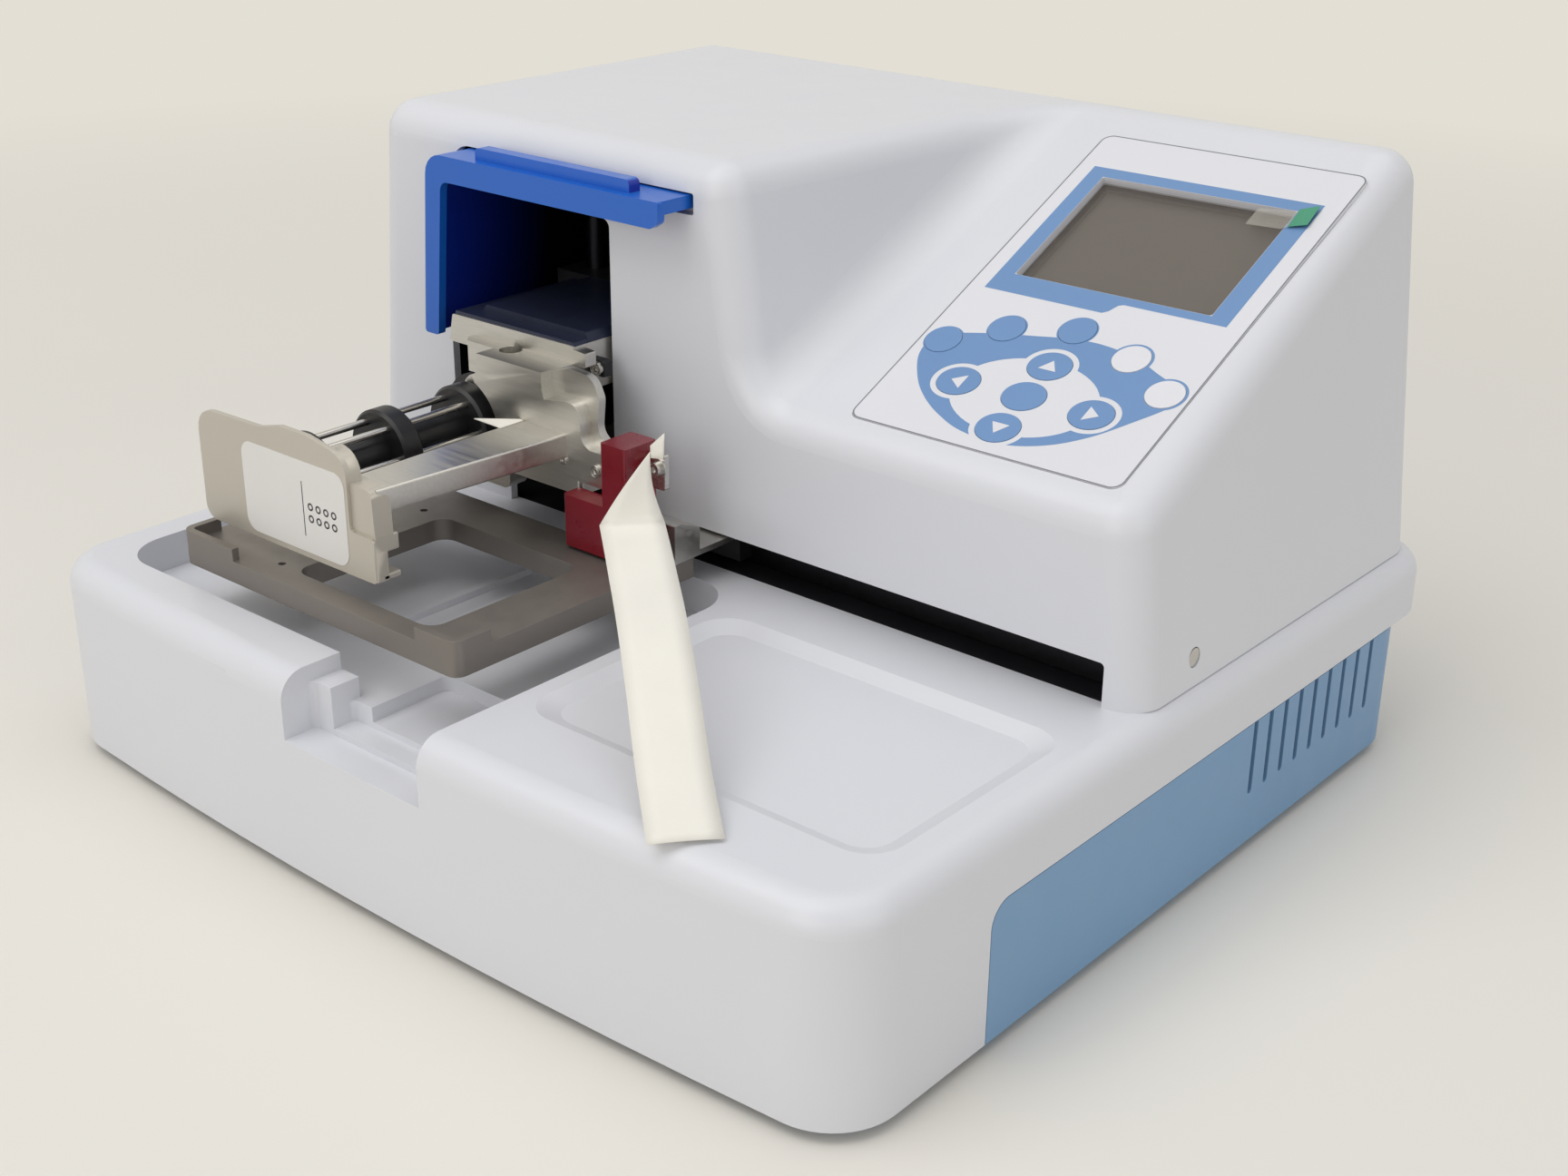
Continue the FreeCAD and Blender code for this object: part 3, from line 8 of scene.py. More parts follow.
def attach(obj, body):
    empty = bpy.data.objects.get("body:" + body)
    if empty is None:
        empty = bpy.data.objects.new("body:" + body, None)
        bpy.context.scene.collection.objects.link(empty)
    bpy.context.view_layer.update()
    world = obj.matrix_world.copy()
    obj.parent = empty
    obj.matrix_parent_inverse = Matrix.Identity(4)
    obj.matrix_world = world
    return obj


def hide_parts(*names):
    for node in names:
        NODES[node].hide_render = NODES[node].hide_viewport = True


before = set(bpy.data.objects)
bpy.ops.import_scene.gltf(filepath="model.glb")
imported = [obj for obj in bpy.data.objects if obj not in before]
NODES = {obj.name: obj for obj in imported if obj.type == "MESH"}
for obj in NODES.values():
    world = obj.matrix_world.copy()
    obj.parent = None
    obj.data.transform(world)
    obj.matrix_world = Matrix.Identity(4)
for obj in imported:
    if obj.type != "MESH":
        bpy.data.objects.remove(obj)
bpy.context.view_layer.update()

# Microplate dispenser, metres in the frame, millimetres in the tables of places.
MM = 0.001

# Camera

CAMERA_PLACE = Vector((0.4425, -0.5013, 0.3510))
CAMERA_RIGHT = Vector((0.7606, 0.6492, 0.0087))
CAMERA_BACK = Vector((0.5916, -0.6985, 0.4026))
FOCAL_LENGTH = 47.70


def make_camera():
    data = bpy.data.cameras.new("camera")
    data.sensor_width = 36.0
    data.lens = FOCAL_LENGTH
    data.clip_start = 0.01
    back = CAMERA_BACK.normalized()
    right = (CAMERA_RIGHT - back * CAMERA_RIGHT.dot(back)).normalized()
    up = back.cross(right)
    turn = Matrix((right, up, back)).transposed().to_4x4()
    camera = bpy.data.objects.new("camera", data)
    camera.matrix_world = Matrix.Translation(CAMERA_PLACE) @ turn
    bpy.context.scene.collection.objects.link(camera)
    bpy.context.scene.camera = camera


make_camera()


# Materials


def srgb(red, green, blue):
    """Linear colour of an 8 bit screen colour."""
    parts = []
    for part in (red, green, blue):
        part /= 255.0
        parts.append(part / 12.92 if part <= 0.04045 else ((part + 0.055) / 1.055) ** 2.4)
    return (*parts, 1.0)


def scaled(color, factor):
    return (*[min(1.0, part * factor) for part in color[:3]], 1.0)


class Look:
    """A node material with slow colour drift, uneven gloss and a fine relief."""

    def __init__(self, name, color, rough, metallic=0.0, coat=0.0, ior=1.5):
        self.material = bpy.data.materials.new(name)
        self.material.use_nodes = True
        self.tree = self.material.node_tree
        self.nodes, self.links = self.tree.nodes, self.tree.links
        self.shader = next(node for node in self.nodes if node.type == "BSDF_PRINCIPLED")
        self.set("Metallic", metallic)
        self.set("IOR", ior)
        self.set("Coat Weight", coat)
        self.set("Coat Roughness", 0.12)
        self.set("Roughness", rough)
        self.set("Base Color", color)
        self.color, self.rough = color, rough
        self.normal = None
        self.place = self.add("ShaderNodeTexCoord").outputs["Object"]

    def set(self, socket, value):
        self.shader.inputs[socket].default_value = value

    def add(self, kind, **values):
        node = self.nodes.new(kind)
        for key, value in values.items():
            setattr(node, key, value)
        return node

    def link(self, output, target):
        self.links.new(output, target)

    def stretched(self, stretch):
        if stretch is None:
            return self.place
        mapping = self.add("ShaderNodeMapping")
        mapping.inputs["Scale"].default_value = stretch
        self.link(self.place, mapping.inputs["Vector"])
        return mapping.outputs["Vector"]

    def noise(self, scale, detail=2.0, roughness=0.5, stretch=None):
        node = self.add("ShaderNodeTexNoise")
        node.inputs["Scale"].default_value = scale
        node.inputs["Detail"].default_value = detail
        node.inputs["Roughness"].default_value = roughness
        self.link(self.stretched(stretch), node.inputs["Vector"])
        return node.outputs["Fac"]

    def span(self, value, low, high, start=0.3, end=0.7):
        node = self.add("ShaderNodeMapRange")
        for socket, number in (("From Min", start), ("From Max", end), ("To Min", low), ("To Max", high)):
            node.inputs[socket].default_value = number
        self.link(value, node.inputs["Value"])
        return node.outputs["Result"]

    def mix(self, factor, low, high):
        node = self.add("ShaderNodeMix", data_type="RGBA")
        self.link(factor, node.inputs[0])
        for socket, value in ((node.inputs[6], low), (node.inputs[7], high)):
            if isinstance(value, tuple):
                socket.default_value = value
            else:
                self.link(value, socket)
        return node.outputs[2]

    def drift(self, scale, amount, stretch=None, detail=3.0):
        """Slow light and dark drift of the colour."""
        factor = self.span(self.noise(scale, detail, stretch=stretch), 0.0, 1.0)
        output = self.mix(factor, scaled(self.color, 1 - amount), scaled(self.color, 1 + amount))
        self.link(output, self.shader.inputs["Base Color"])
        return self

    def gloss(self, scale, amount, stretch=None, detail=3.0):
        """Uneven roughness."""
        factor = self.noise(scale, detail, stretch=stretch)
        output = self.span(factor, self.rough - amount, self.rough + amount)
        self.link(output, self.shader.inputs["Roughness"])
        return self

    def relief(self, scale, height, stretch=None, detail=2.0, strength=1.0):
        """Fine bumps of the given height in metres, on top of those before."""
        bump = self.add("ShaderNodeBump")
        bump.inputs["Strength"].default_value = strength
        bump.inputs["Distance"].default_value = height
        self.link(self.noise(scale, detail, stretch=stretch), bump.inputs["Height"])
        if self.normal:
            self.link(self.normal, bump.inputs["Normal"])
        self.normal = bump.outputs["Normal"]
        self.link(self.normal, self.shader.inputs["Normal"])
        return self


def metal(name, color, rough, brush, grain=0.0000025, drift=0.03):
    """Brushed or ground metal: fine lines across the brush direction's long axis."""
    look = Look(name, color, rough, metallic=1.0)
    look.drift(900, drift, stretch=brush)
    look.gloss(500, rough * 0.15, stretch=brush)
    return look.relief(900, grain, stretch=brush)


def cover_inside_painted_shade():
    """Inner side of the blue cover: saturated blue at the rim, darkened to almost black deep inside as
    painted shade.
    """
    look = Look("cover_inside_painted_shade", srgb(6, 28, 110), 0.4)
    split = look.add("ShaderNodeSeparateXYZ")
    look.link(look.place, split.inputs["Vector"])
    # Painted shade: the colour darkens from blue to almost black with depth into the cover.
    painted_shade_factor = look.span(split.outputs["Y"], 0.0, 1.0, -0.034, 0.022)
    cloud = look.span(look.noise(30, 3), 0.9, 1.0)
    blue = look.mix(cloud, scaled(srgb(8, 46, 165), 0.9), srgb(8, 46, 165))
    look.link(look.mix(painted_shade_factor, blue, srgb(2, 3, 10)), look.shader.inputs["Base Color"])
    return look.gloss(60, 0.05).relief(500, 0.000004)


LOOKS = {}


def make_looks():
    shell = Look("white_shell", srgb(222, 223, 227), 0.34, coat=0.0)
    shell.drift(7, 0.012).gloss(60, 0.05).relief(1500, 0.000008)
    LOOKS["white_shell"] = shell
    LOOKS["blue_case"] = Look("blue_case", srgb(122, 160, 196), 0.42).drift(
        9, 0.03).gloss(80, 0.06).relief(1300, 0.00002)
    LOOKS["panel_film"] = Look("panel_film", srgb(226, 226, 230), 0.40).drift(
        12, 0.01).gloss(90, 0.04).relief(1800, 0.000006)
    LOOKS["panel_blue"] = Look("panel_blue", srgb(108, 146, 193), 0.42).drift(
        25, 0.02).gloss(90, 0.05).relief(1800, 0.000006)
    LOOKS["key_blue"] = Look("key_blue", srgb(108, 146, 193), 0.42).drift(
        40, 0.02).gloss(120, 0.05).relief(1800, 0.000006)
    LOOKS["key_white"] = Look("key_white", srgb(228, 228, 232), 0.42).drift(
        40, 0.01).gloss(120, 0.05).relief(1800, 0.000006)
    LOOKS["cover_blue"] = Look("cover_blue", srgb(22, 98, 196), 0.33, coat=0.12).drift(
        20, 0.03).gloss(60, 0.05).relief(500, 0.000004)
    LOOKS["cover_inside_painted_shade"] = cover_inside_painted_shade()
    # Dark navy: painted shade and painted reflection of the blue cover on the pump block's top.
    LOOKS["painted_shade_blue_reflection"] = Look("painted_shade_blue_reflection", srgb(44, 50, 72), 0.38, metallic=0.3).drift(
        30, 0.10).gloss(90, 0.06).relief(900, 0.00001)
    LOOKS["panel_edge"] = Look("panel_edge", srgb(120, 122, 128), 0.5).drift(60, 0.05).gloss(90, 0.05)
    # Near black: the bay liner's colour, also used as painted shade on the slot sheet and the head's ear.
    LOOKS["liner"] = Look("liner", srgb(14, 16, 22), 0.55).drift(20, 0.2).gloss(80, 0.08).relief(900, 0.00002)
    LOOKS["aluminium"] = metal("aluminium", srgb(205, 203, 198), 0.36, (0.08, 1.0, 1.0), drift=0.04)
    LOOKS["cast_coat"] = Look("cast_coat", srgb(196, 190, 178), 0.40, metallic=0.35).drift(
        20, 0.02).gloss(90, 0.05).relief(1200, 0.00001)
    LOOKS["grey_coat"] = Look("grey_coat", srgb(132, 126, 120), 0.42, metallic=0.55).drift(
        30, 0.04).gloss(120, 0.05).relief(1400, 0.000008)
    LOOKS["steel"] = metal("steel", srgb(200, 198, 194), 0.25, (1.0, 0.06, 1.0))
    LOOKS["dark_steel"] = metal("dark_steel", srgb(46, 46, 50), 0.38, (1.0, 0.06, 1.0))
    LOOKS["black_plastic"] = Look("black_plastic", srgb(26, 26, 28), 0.45).drift(
        60, 0.15).gloss(150, 0.08).relief(1500, 0.00002)
    LOOKS["rotor_black"] = Look("rotor_black", srgb(30, 30, 33), 0.38, metallic=0.2).drift(
        80, 0.15).gloss(150, 0.08).relief(1500, 0.00002)
    LOOKS["label_film"] = Look("label_film", srgb(226, 224, 220), 0.42).drift(
        40, 0.015).gloss(120, 0.05).relief(1500, 0.00001)
    LOOKS["lock_red"] = Look("lock_red", srgb(120, 12, 30), 0.30, coat=0.2).drift(
        60, 0.12).gloss(100, 0.06).relief(900, 0.00002)
    LOOKS["tag_paper"] = Look("tag_paper", srgb(244, 240, 229), 0.75).drift(
        50, 0.02, detail=6).gloss(200, 0.06).relief(1600, 0.00006, detail=5)
    LOOKS["rubber"] = Look("rubber", srgb(28, 28, 28), 0.7).drift(60, 0.15).gloss(
        200, 0.08).relief(1200, 0.00005)
    LOOKS["motor_paint"] = Look("motor_paint", srgb(34, 34, 36), 0.4).drift(
        60, 0.1).gloss(150, 0.08).relief(900, 0.00002)
    LOOKS["guide_plastic"] = Look("guide_plastic", srgb(214, 214, 210), 0.5).drift(
        60, 0.03).gloss(150, 0.06).relief(1200, 0.00002)
    LOOKS["supply_metal"] = metal("supply_metal", srgb(190, 190, 190), 0.4, (0.08, 1.0, 1.0))
    LOOKS["display"] = Look("display", srgb(100, 94, 87), 0.35).drift(
        15, 0.03).gloss(60, 0.04).relief(900, 0.000001)
    LOOKS["print_black"] = Look("print_black", srgb(48, 48, 50), 0.5).drift(
        100, 0.1).gloss(150, 0.05).relief(1500, 0.00001)
    LOOKS["film_green"] = Look("film_green", srgb(62, 150, 116), 0.25).drift(
        100, 0.05).gloss(150, 0.05).relief(700, 0.00002)
    LOOKS["circuit"] = Look("circuit", srgb(20, 92, 58), 0.4).drift(
        300, 0.2).gloss(300, 0.1).relief(900, 0.00005)
    window = Look("window", srgb(150, 142, 133), 0.06).drift(40, 0.02).relief(60, 0.00001)
    window.set("Alpha", 0.2)
    LOOKS["window"] = window
    film = Look("film_clear", srgb(214, 208, 196), 0.12).drift(200, 0.06).relief(300, 0.00008)
    film.set("Alpha", 0.33)
    LOOKS["film_clear"] = film


make_looks()

NODE_LOOKS = {
    "white_shell": ("base_cover", "tower_cover"),
    "blue_case": ("lower_case",),
    "rubber": ("rubber_feet", "drive_belt"),
    "steel": ("tower_screws", "pump_screws", "rotor_shaft", "rotor_bearing", "idler_pin", "lock_bracket",
              "lock_screw", "serial_port", *[f"roller_{i}" for i in range(1, 7)]),
    "dark_steel": ("lift_guides", "x_rail"),
    "panel_film": ("keypad_panel",),
    "window": ("display_window",),
    "display": ("display_module",),
    "circuit": ("keypad_board", "circuit_board"),
    "cover_blue": ("rotor_cover",),
    "guide_plastic": ("cover_rails",),
    "liner": ("pump_bay_liner",),
    "aluminium": ("pump_rear_plate", "pump_upper_block", "pump_front_plate", "tension_bar",
                  "carrier_arm"),
    "label_film": ("pump_label",),
    "rotor_black": ("rotor_discs",),
    "motor_paint": ("pump_motor", "lift_motor", "x_motor", "head_carriage", "column_plates"),
    "grey_coat": ("plate_carrier",),
    "black_plastic": ("x_carriage", "pulley_left", "pulley_right", "power_entry", "power_switch"),
    "lock_red": ("transport_lock",),
    "tag_paper": ("paper_tag",),
    "supply_metal": ("power_supply",),
    "key_blue": ("key_ok", "key_up", "key_down", "key_left", "key_right", "key_function_left",
                 "key_function_middle", "key_function_right"),
    "key_white": ("key_stop", "key_start"),
}
for look, names in NODE_LOOKS.items():
    for name in names:
        slots = NODES[name].material_slots
        if slots:
            for slot in slots:
                slot.material = LOOKS[look].material
        else:
            NODES[name].data.materials.append(LOOKS[look].material)
        for face in NODES[name].data.polygons:
            face.material_index = 0


# Pieces


def make_piece(name, points, faces, look, body, smooth=False):
    mesh = bpy.data.meshes.new(name)
    mesh.from_pydata([tuple(point) for point in points], [], faces)
    mesh.validate()
    mesh.materials.append(LOOKS[look].material)
    if smooth:
        mesh.shade_smooth()
    piece = bpy.data.objects.new(name, mesh)
    bpy.context.scene.collection.objects.link(piece)
    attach(piece, body)
    return piece


# Places on the sloped panel: u across, v up the slope, out above its face, in millimetres

SLOPE = math.radians(25.3)
PANEL_X = 104.2
PANEL_Y = -21.3 + 10.07 * math.cos(SLOPE)
PANEL_Z = 132.0 + 10.07 * math.sin(SLOPE)
PANEL_FACE = 0.3
KEY_TOP = 0.5


def on_panel(u, v, out):
    return Vector((
        PANEL_X + u,
        PANEL_Y + v * math.cos(SLOPE) - out * math.sin(SLOPE),
        PANEL_Z + v * math.sin(SLOPE) + out * math.cos(SLOPE))) * MM


def oval(u, v, long, short, count=56):
    return [(u + long * math.cos(2 * math.pi * i / count), v + short * math.sin(2 * math.pi * i / count))
            for i in range(count)]


def inside_oval(u, v, long, short, grow=0.0):
    return lambda p: ((p[0] - u) / (long + grow)) ** 2 + ((p[1] - v) / (short + grow)) ** 2 < 1


def inside_loop(loop):
    def test(p):
        inside = False
        for (x0, y0), (x1, y1) in zip(loop, loop[1:] + loop[:1]):
            if (y0 > p[1]) != (y1 > p[1]) and p[0] < (x1 - x0) * (p[1] - y0) / (y1 - y0) + x0:
                inside = not inside
        return inside
    return test


def smooth_loop(points, steps=8):
    """Closed curve through points."""
    loop = []
    count = len(points)
    for i in range(count):
        p0, p1, p2, p3 = (Vector(points[(i + k - 1) % count]) for k in range(4))
        for j in range(steps):
            t = j / steps
            loop.append(tuple(0.5 * (
                2 * p1 + (p2 - p0) * t + (2 * p0 - 5 * p1 + 4 * p2 - p3) * t * t
                + (3 * p1 - p0 - 3 * p2 + p3) * t ** 3)))
    return loop


def flat_print(name, loops, keep, place, look, body):
    """Printed area: the part of a plane inside the loops that keep accepts."""
    verts, edges = [], []
    for loop in loops:
        start = len(verts)
        verts += [Vector(point) for point in loop]
        edges += [(start + i, start + (i + 1) % len(loop)) for i in range(len(loop))]
    out = geometry.delaunay_2d_cdt(verts, edges, [], 0, 1e-4)
    points, triangles = out[0], out[2]
    faces = []
    for face in triangles:
        centre = sum((points[i] for i in face), Vector((0, 0))) / len(face)
        if keep(centre):
            faces.append(tuple(face))
    used = sorted({i for face in faces for i in face})
    index = {old: new for new, old in enumerate(used)}
    return make_piece(name, [place(*points[i]) for i in used],
                      [tuple(index[i] for i in face) for face in faces], look, body)


KEY_ROUND = 6.2
RING_OVAL = (9.6, 8.4)
ARROWS = {"key_up": (0.0, 41.5, 0, 1), "key_down": (0.3, 11.3, 0, -1),
          "key_left": (-24.5, 26.0, -1, 0), "key_right": (24.8, 26.0, 1, 0)}
ROUNDS = {"key_stop": (22.9, 52.7), "key_start": (41.3, 41.5), "key_function_left": (-41.4, 42.0),
          "key_function_middle": (-23.9, 53.3), "key_function_right": (-0.8, 59.4)}
LEAF = [(-44.4, 31.5), (-37.6, 21.9), (-30.0, 15.2), (-21.2, 10.1), (-10.5, 6.2), (4.5, 5.0), (18.3, 9.1),
        (29.5, 16.9), (38.8, 27.5), (45.8, 36.9), (46.5, 42.5), (41.0, 46.3), (34.4, 49.2), (24.0, 53.6),
        (10.7, 56.0), (-1.0, 55.4), (-12.9, 53.0), (-25.0, 50.4), (-35.8, 47.4), (-43.5, 44.5), (-46.0, 39.0)]
SCREEN_BORDER = [(-43.8, 69.8), (1.7, 69.8), (3.4, 71.2), (5.0, 74.6), (6.6, 75.4), (43.2, 75.4),
                 (43.2, 139.8), (-43.8, 139.8)]
WINDOW_EDGE = [(-37.6, 78.9), (36.1, 78.9), (36.1, 134.9), (-37.6, 134.9)]


def panel_graphics():
    gap = 0.17
    leaf = smooth_loop(LEAF)
    white_oval = oval(0.0, 26.2, 25.6, 17.6)
    loops = [leaf, white_oval, SCREEN_BORDER, WINDOW_EDGE]
    blue = [inside_loop(leaf), inside_loop(SCREEN_BORDER)]
    bare = [inside_oval(0.0, 26.2, 25.6, 17.6), inside_loop(WINDOW_EDGE)]
    for u, v, *_ in ARROWS.values():
        loops.append(oval(u, v, *RING_OVAL))
        bare.append(inside_oval(u, v, *RING_OVAL))
    for name, (u, v) in ROUNDS.items():
        halo = 1.0 if name in ("key_stop", "key_start") else 0.6
        for radius in (KEY_ROUND + gap, KEY_ROUND + halo):
            loops.append(oval(u, v, radius, radius))
        bare.append(inside_oval(u, v, KEY_ROUND, KEY_ROUND, gap))
        blue.append(inside_oval(u, v, KEY_ROUND, KEY_ROUND, halo))

    def keep(point):
        return any(test(point) for test in blue) and not any(test(point) for test in bare)

    flat_print("panel_graphics", loops, keep, lambda u, v: on_panel(u, v, PANEL_FACE + 0.03),
               "panel_blue", "base")
    for name, (u, v, across, up) in ARROWS.items():
        tip, tail, half = 2.7, 1.9, 3.2
        corners = [(u + across * tip, v + up * tip),
                   (u - across * tail - up * half, v - up * tail + across * half),
                   (u - across * tail + up * half, v - up * tail - across * half)]
        flat_print(f"{name}_arrow", [corners], inside_loop(corners),
                   lambda a, b: on_panel(a, b, KEY_TOP + 0.03), "panel_film", name)


panel_graphics()


def display_film():
    """Clear protective strip over the display's corner, with its green pull tab."""
    clear = [(22.5, 133.8, -0.2), (35.6, 134.6, 0.5), (37.4, 135.2, 0.75), (37.4, 125.9, 0.75),
             (35.1, 124.6, 0.5), (22.5, 124.9, -0.2)]
    make_piece("film_strip", [on_panel(*p) for p in clear], [tuple(range(6))], "film_clear", "base")
    tab = [(36.8, 135.3, 0.8), (42.8, 137.6, 1.6), (43.4, 127.5, 1.6), (37.2, 125.8, 0.8)]
    points = [on_panel(*p) for p in tab] + [on_panel(u, v, out + 0.15) for u, v, out in tab]
    faces = [(0, 1, 2, 3), (7, 6, 5, 4), (0, 4, 5, 1), (1, 5, 6, 2), (2, 6, 7, 3), (3, 7, 4, 0)]
    make_piece("film_tab", points, faces, "film_green", "base")


display_film()

# Marks on the front plate's label: a line and two rows of rings, no words

LABEL_Y = -130.5 - 0.2 - 0.04


def label_marks():
    loops, tests, holes = [], [], []
    line = [(-72.5, 97.0), (-72.1, 97.0), (-72.1, 115.7), (-72.5, 115.7)]
    loops.append(line)
    tests.append(inside_loop(line))
    for row, z in enumerate((107.8, 103.7)):
        for i in range(4):
            x = -68.6 + 3.9 * i
            for radius, group in ((1.35, tests), (0.75, holes)):
                loops.append(oval(x, z, radius, radius, 24))
                group.append(inside_oval(x, z, radius, radius))

    def keep(point):
        return any(test(point) for test in tests) and not any(test(point) for test in holes)

    flat_print("label_marks", loops, keep, lambda x, z: Vector((x, LABEL_Y, z)) * MM,
               "print_black", "pump_head")


label_marks()

# Paper tag: a long strip that droops from the lock, folded over at its upper end

TAG_LINE = [(121.2, -160.4, 72.9), (109.5, -150.5, 75.8), (97.6, -140.5, 80.4), (83.4, -128.4, 88.4),
            (69.3, -116.5, 95.6), (54.8, -104.2, 100.2), (40.1, -91.8, 102.9), (27.0, -80.7, 104.9),
            (14.6, -70.2, 106.2)]
TAG_HALF = 10.3
TAG_SIDE = Vector((0.645, 0.764, 0.0))
TAG_FOLD_TOP = (15.5, -62.5, 128.4)
TAG_FLAP = [(15.5, -62.3, 130.4), (21.6, -62.3, 135.9), (21.0, -62.3, 127.3), (15.6, -62.3, 126.3)]


def paper_tag():
    rows = 25
    line = [Vector(p) for p in TAG_LINE]
    points, faces = [], []
    columns = 5

    def at(t):
        t = t * (len(line) - 1)
        i = min(int(t), len(line) - 2)
        t -= i
        p0, p1, p2, p3 = (line[max(0, min(len(line) - 1, i + k - 1))] for k in range(4))
        return 0.5 * (2 * p1 + (p2 - p0) * t + (2 * p0 - 5 * p1 + 4 * p2 - p3) * t * t
                      + (3 * p1 - p0 - 3 * p2 + p3) * t ** 3)

    for row in range(rows):
        centre = at(row / (rows - 1))
        for column in range(columns):
            s = 2 * column / (columns - 1) - 1
            bow = 0.35 * (1 - s * s)
            points.append(centre + TAG_SIDE * TAG_HALF * s + Vector((0, 0, bow)))
    last = len(points) - columns
    fold_low, fold_high = points[last], Vector(TAG_FOLD_TOP)
    right_low = points[-1]
    steps = 8
    for step in range(1, steps + 1):
        t = step / steps
        left = fold_low.lerp(fold_high, t) + Vector((0, -1.2 * math.sin(math.pi * t), 0))
        right = right_low.lerp(fold_high, t)
        right += Vector((-1.4, -0.6, 0)) * math.sin(math.pi * t)
        for column in range(columns):
            points.append(left.lerp(right, column / (columns - 1)))
    total = rows + steps
    for row in range(total - 1):
        for column in range(columns - 1):
            a = row * columns + column
            faces.append((a, a + 1, a + columns + 1, a + columns))
    flap = [Vector(corner) for corner in TAG_FLAP]
    start = len(points)
    for i in range(6):
        for j in range(4):
            left = flap[0].lerp(flap[1], i / 5)
            right = flap[3].lerp(flap[2], i / 5)
            points.append(left.lerp(right, j / 3))
    for i in range(5):
        for j in range(3):
            a = start + i * 4 + j
            faces.append((a, a + 4, a + 5, a + 1))
    piece = make_piece("tag_strip", [p * MM for p in points], faces, "tag_paper", "plate_carriage",
                       smooth=True)
    solid = piece.modifiers.new("thickness", "SOLIDIFY")
    solid.thickness = 0.3 * MM
    solid.offset = 0.0
    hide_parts("paper_tag")


paper_tag()


def paper_slip():
    """Small paper corner that lies on the tension bar beside the rotor."""
    corners = [(-53.6, -62.6), (-67.4, -62.0), (-55.4, -52.2), (-53.6, -52.2)]
    low, high = 119.85, 120.15
    points = [Vector((x, y, z)) * MM for z in (low, high) for x, y in corners]
    count = len(corners)
    sides = [(i, (i + 1) % count, (i + 1) % count + count, i + count) for i in range(count)]
    faces = [tuple(reversed(range(count))), tuple(range(count, 2 * count))] + sides
    make_piece("paper_slip", points, faces, "tag_paper", "pump_head")


paper_slip()


# Solids with rounded corners, and cuts and joins of them


def rounded(corners, steps=5):
    """Outline with arcs at the corners that give a radius."""
    outline = []
    count = len(corners)
    for i, corner in enumerate(corners):
        here = Vector(corner[:2])
        if len(corner) < 3:
            outline.append(here)
            continue
        before = (Vector(corners[i - 1][:2]) - here).normalized()
        after = (Vector(corners[(i + 1) % count][:2]) - here).normalized()
        half = before.angle(after) / 2
        centre = here + (before + after).normalized() * (corner[2] / math.sin(half))
        start = here + before * (corner[2] / math.tan(half)) - centre
        sweep = start.angle_signed(here + after * (corner[2] / math.tan(half)) - centre)
        for k in range(steps + 1):
            turn = Matrix.Rotation(-sweep * k / steps, 2)
            outline.append(centre + turn @ start)
    return outline


def prism(plane, low, high, corners, far_corners=None):
    """Closed solid between two parallel outlines; plane XZ goes along y, XY along z, YZ along x."""
    order = {"XZ": (0, 2, 1), "XY": (0, 1, 2), "YZ": (1, 2, 0)}[plane]
    points = []
    for place, outline in ((low, corners), (high, far_corners or corners)):
        for u, v in rounded(outline):
            point = [0.0, 0.0, 0.0]
            point[order[0]], point[order[1]], point[order[2]] = u * MM, v * MM, place * MM
            points.append(point)
    count = len(points) // 2
    faces = [tuple(range(count)), tuple(range(2 * count - 1, count - 1, -1))]
    faces += [(i, i + count, (i + 1) % count + count, (i + 1) % count) for i in range(count)]
    return closed_mesh(points, faces)


def closed_mesh(points, faces):
    mesh = bpy.data.meshes.new("form")
    mesh.from_pydata([tuple(point) for point in points], [], faces)
    work = bmesh.new()
    work.from_mesh(mesh)
    bmesh.ops.recalc_face_normals(work, faces=work.faces)
    work.to_mesh(mesh)
    work.free()
    return mesh


def rod(axis, centre, low, high, radius, count=32):
    """Round rod along an axis through a centre in the other two directions."""
    plane = {"y": "XZ", "z": "XY", "x": "YZ"}[axis]
    return prism(plane, low, high, oval(*centre, radius, radius, count))


def rectangle(left, right, front, back, radius=0.0):
    corners = [(left, front), (right, front), (right, back), (left, back)]
    return [(*corner, radius) for corner in corners] if radius else corners


def combined(base, joins=(), cuts=()):
    """Mesh of the base with some forms joined to it, and then others cut from it."""
    forms = [bpy.data.objects.new("form", mesh) for mesh in (base, *joins, *cuts)]
    for form in forms:
        bpy.context.scene.collection.objects.link(form)
    for i, form in enumerate(forms[1:]):
        step = forms[0].modifiers.new("step", "BOOLEAN")
        step.operation = "UNION" if i < len(joins) else "DIFFERENCE"
        step.object = form
    result = bpy.data.meshes.new_from_object(forms[0].evaluated_get(bpy.context.evaluated_depsgraph_get()))
    for form in forms:
        bpy.data.objects.remove(form)
    return result


def keep_corners(mesh):
    """Flat faces meet at sharp corners, and only gentle bends are shaded smooth."""
    if "custom_normal" in mesh.attributes:
        mesh.attributes.remove(mesh.attributes["custom_normal"])
    mesh.set_sharp_from_angle(angle=math.radians(32))


def soften_edges(piece, width, steps):
    soften = piece.modifiers.new("edges", "BEVEL")
    soften.width = width * MM
    soften.segments = steps
    soften.limit_method = "ANGLE"
    soften.angle_limit = math.radians(35)
    normals = piece.modifiers.new("normals", "WEIGHTED_NORMAL")
    normals.keep_sharp = True


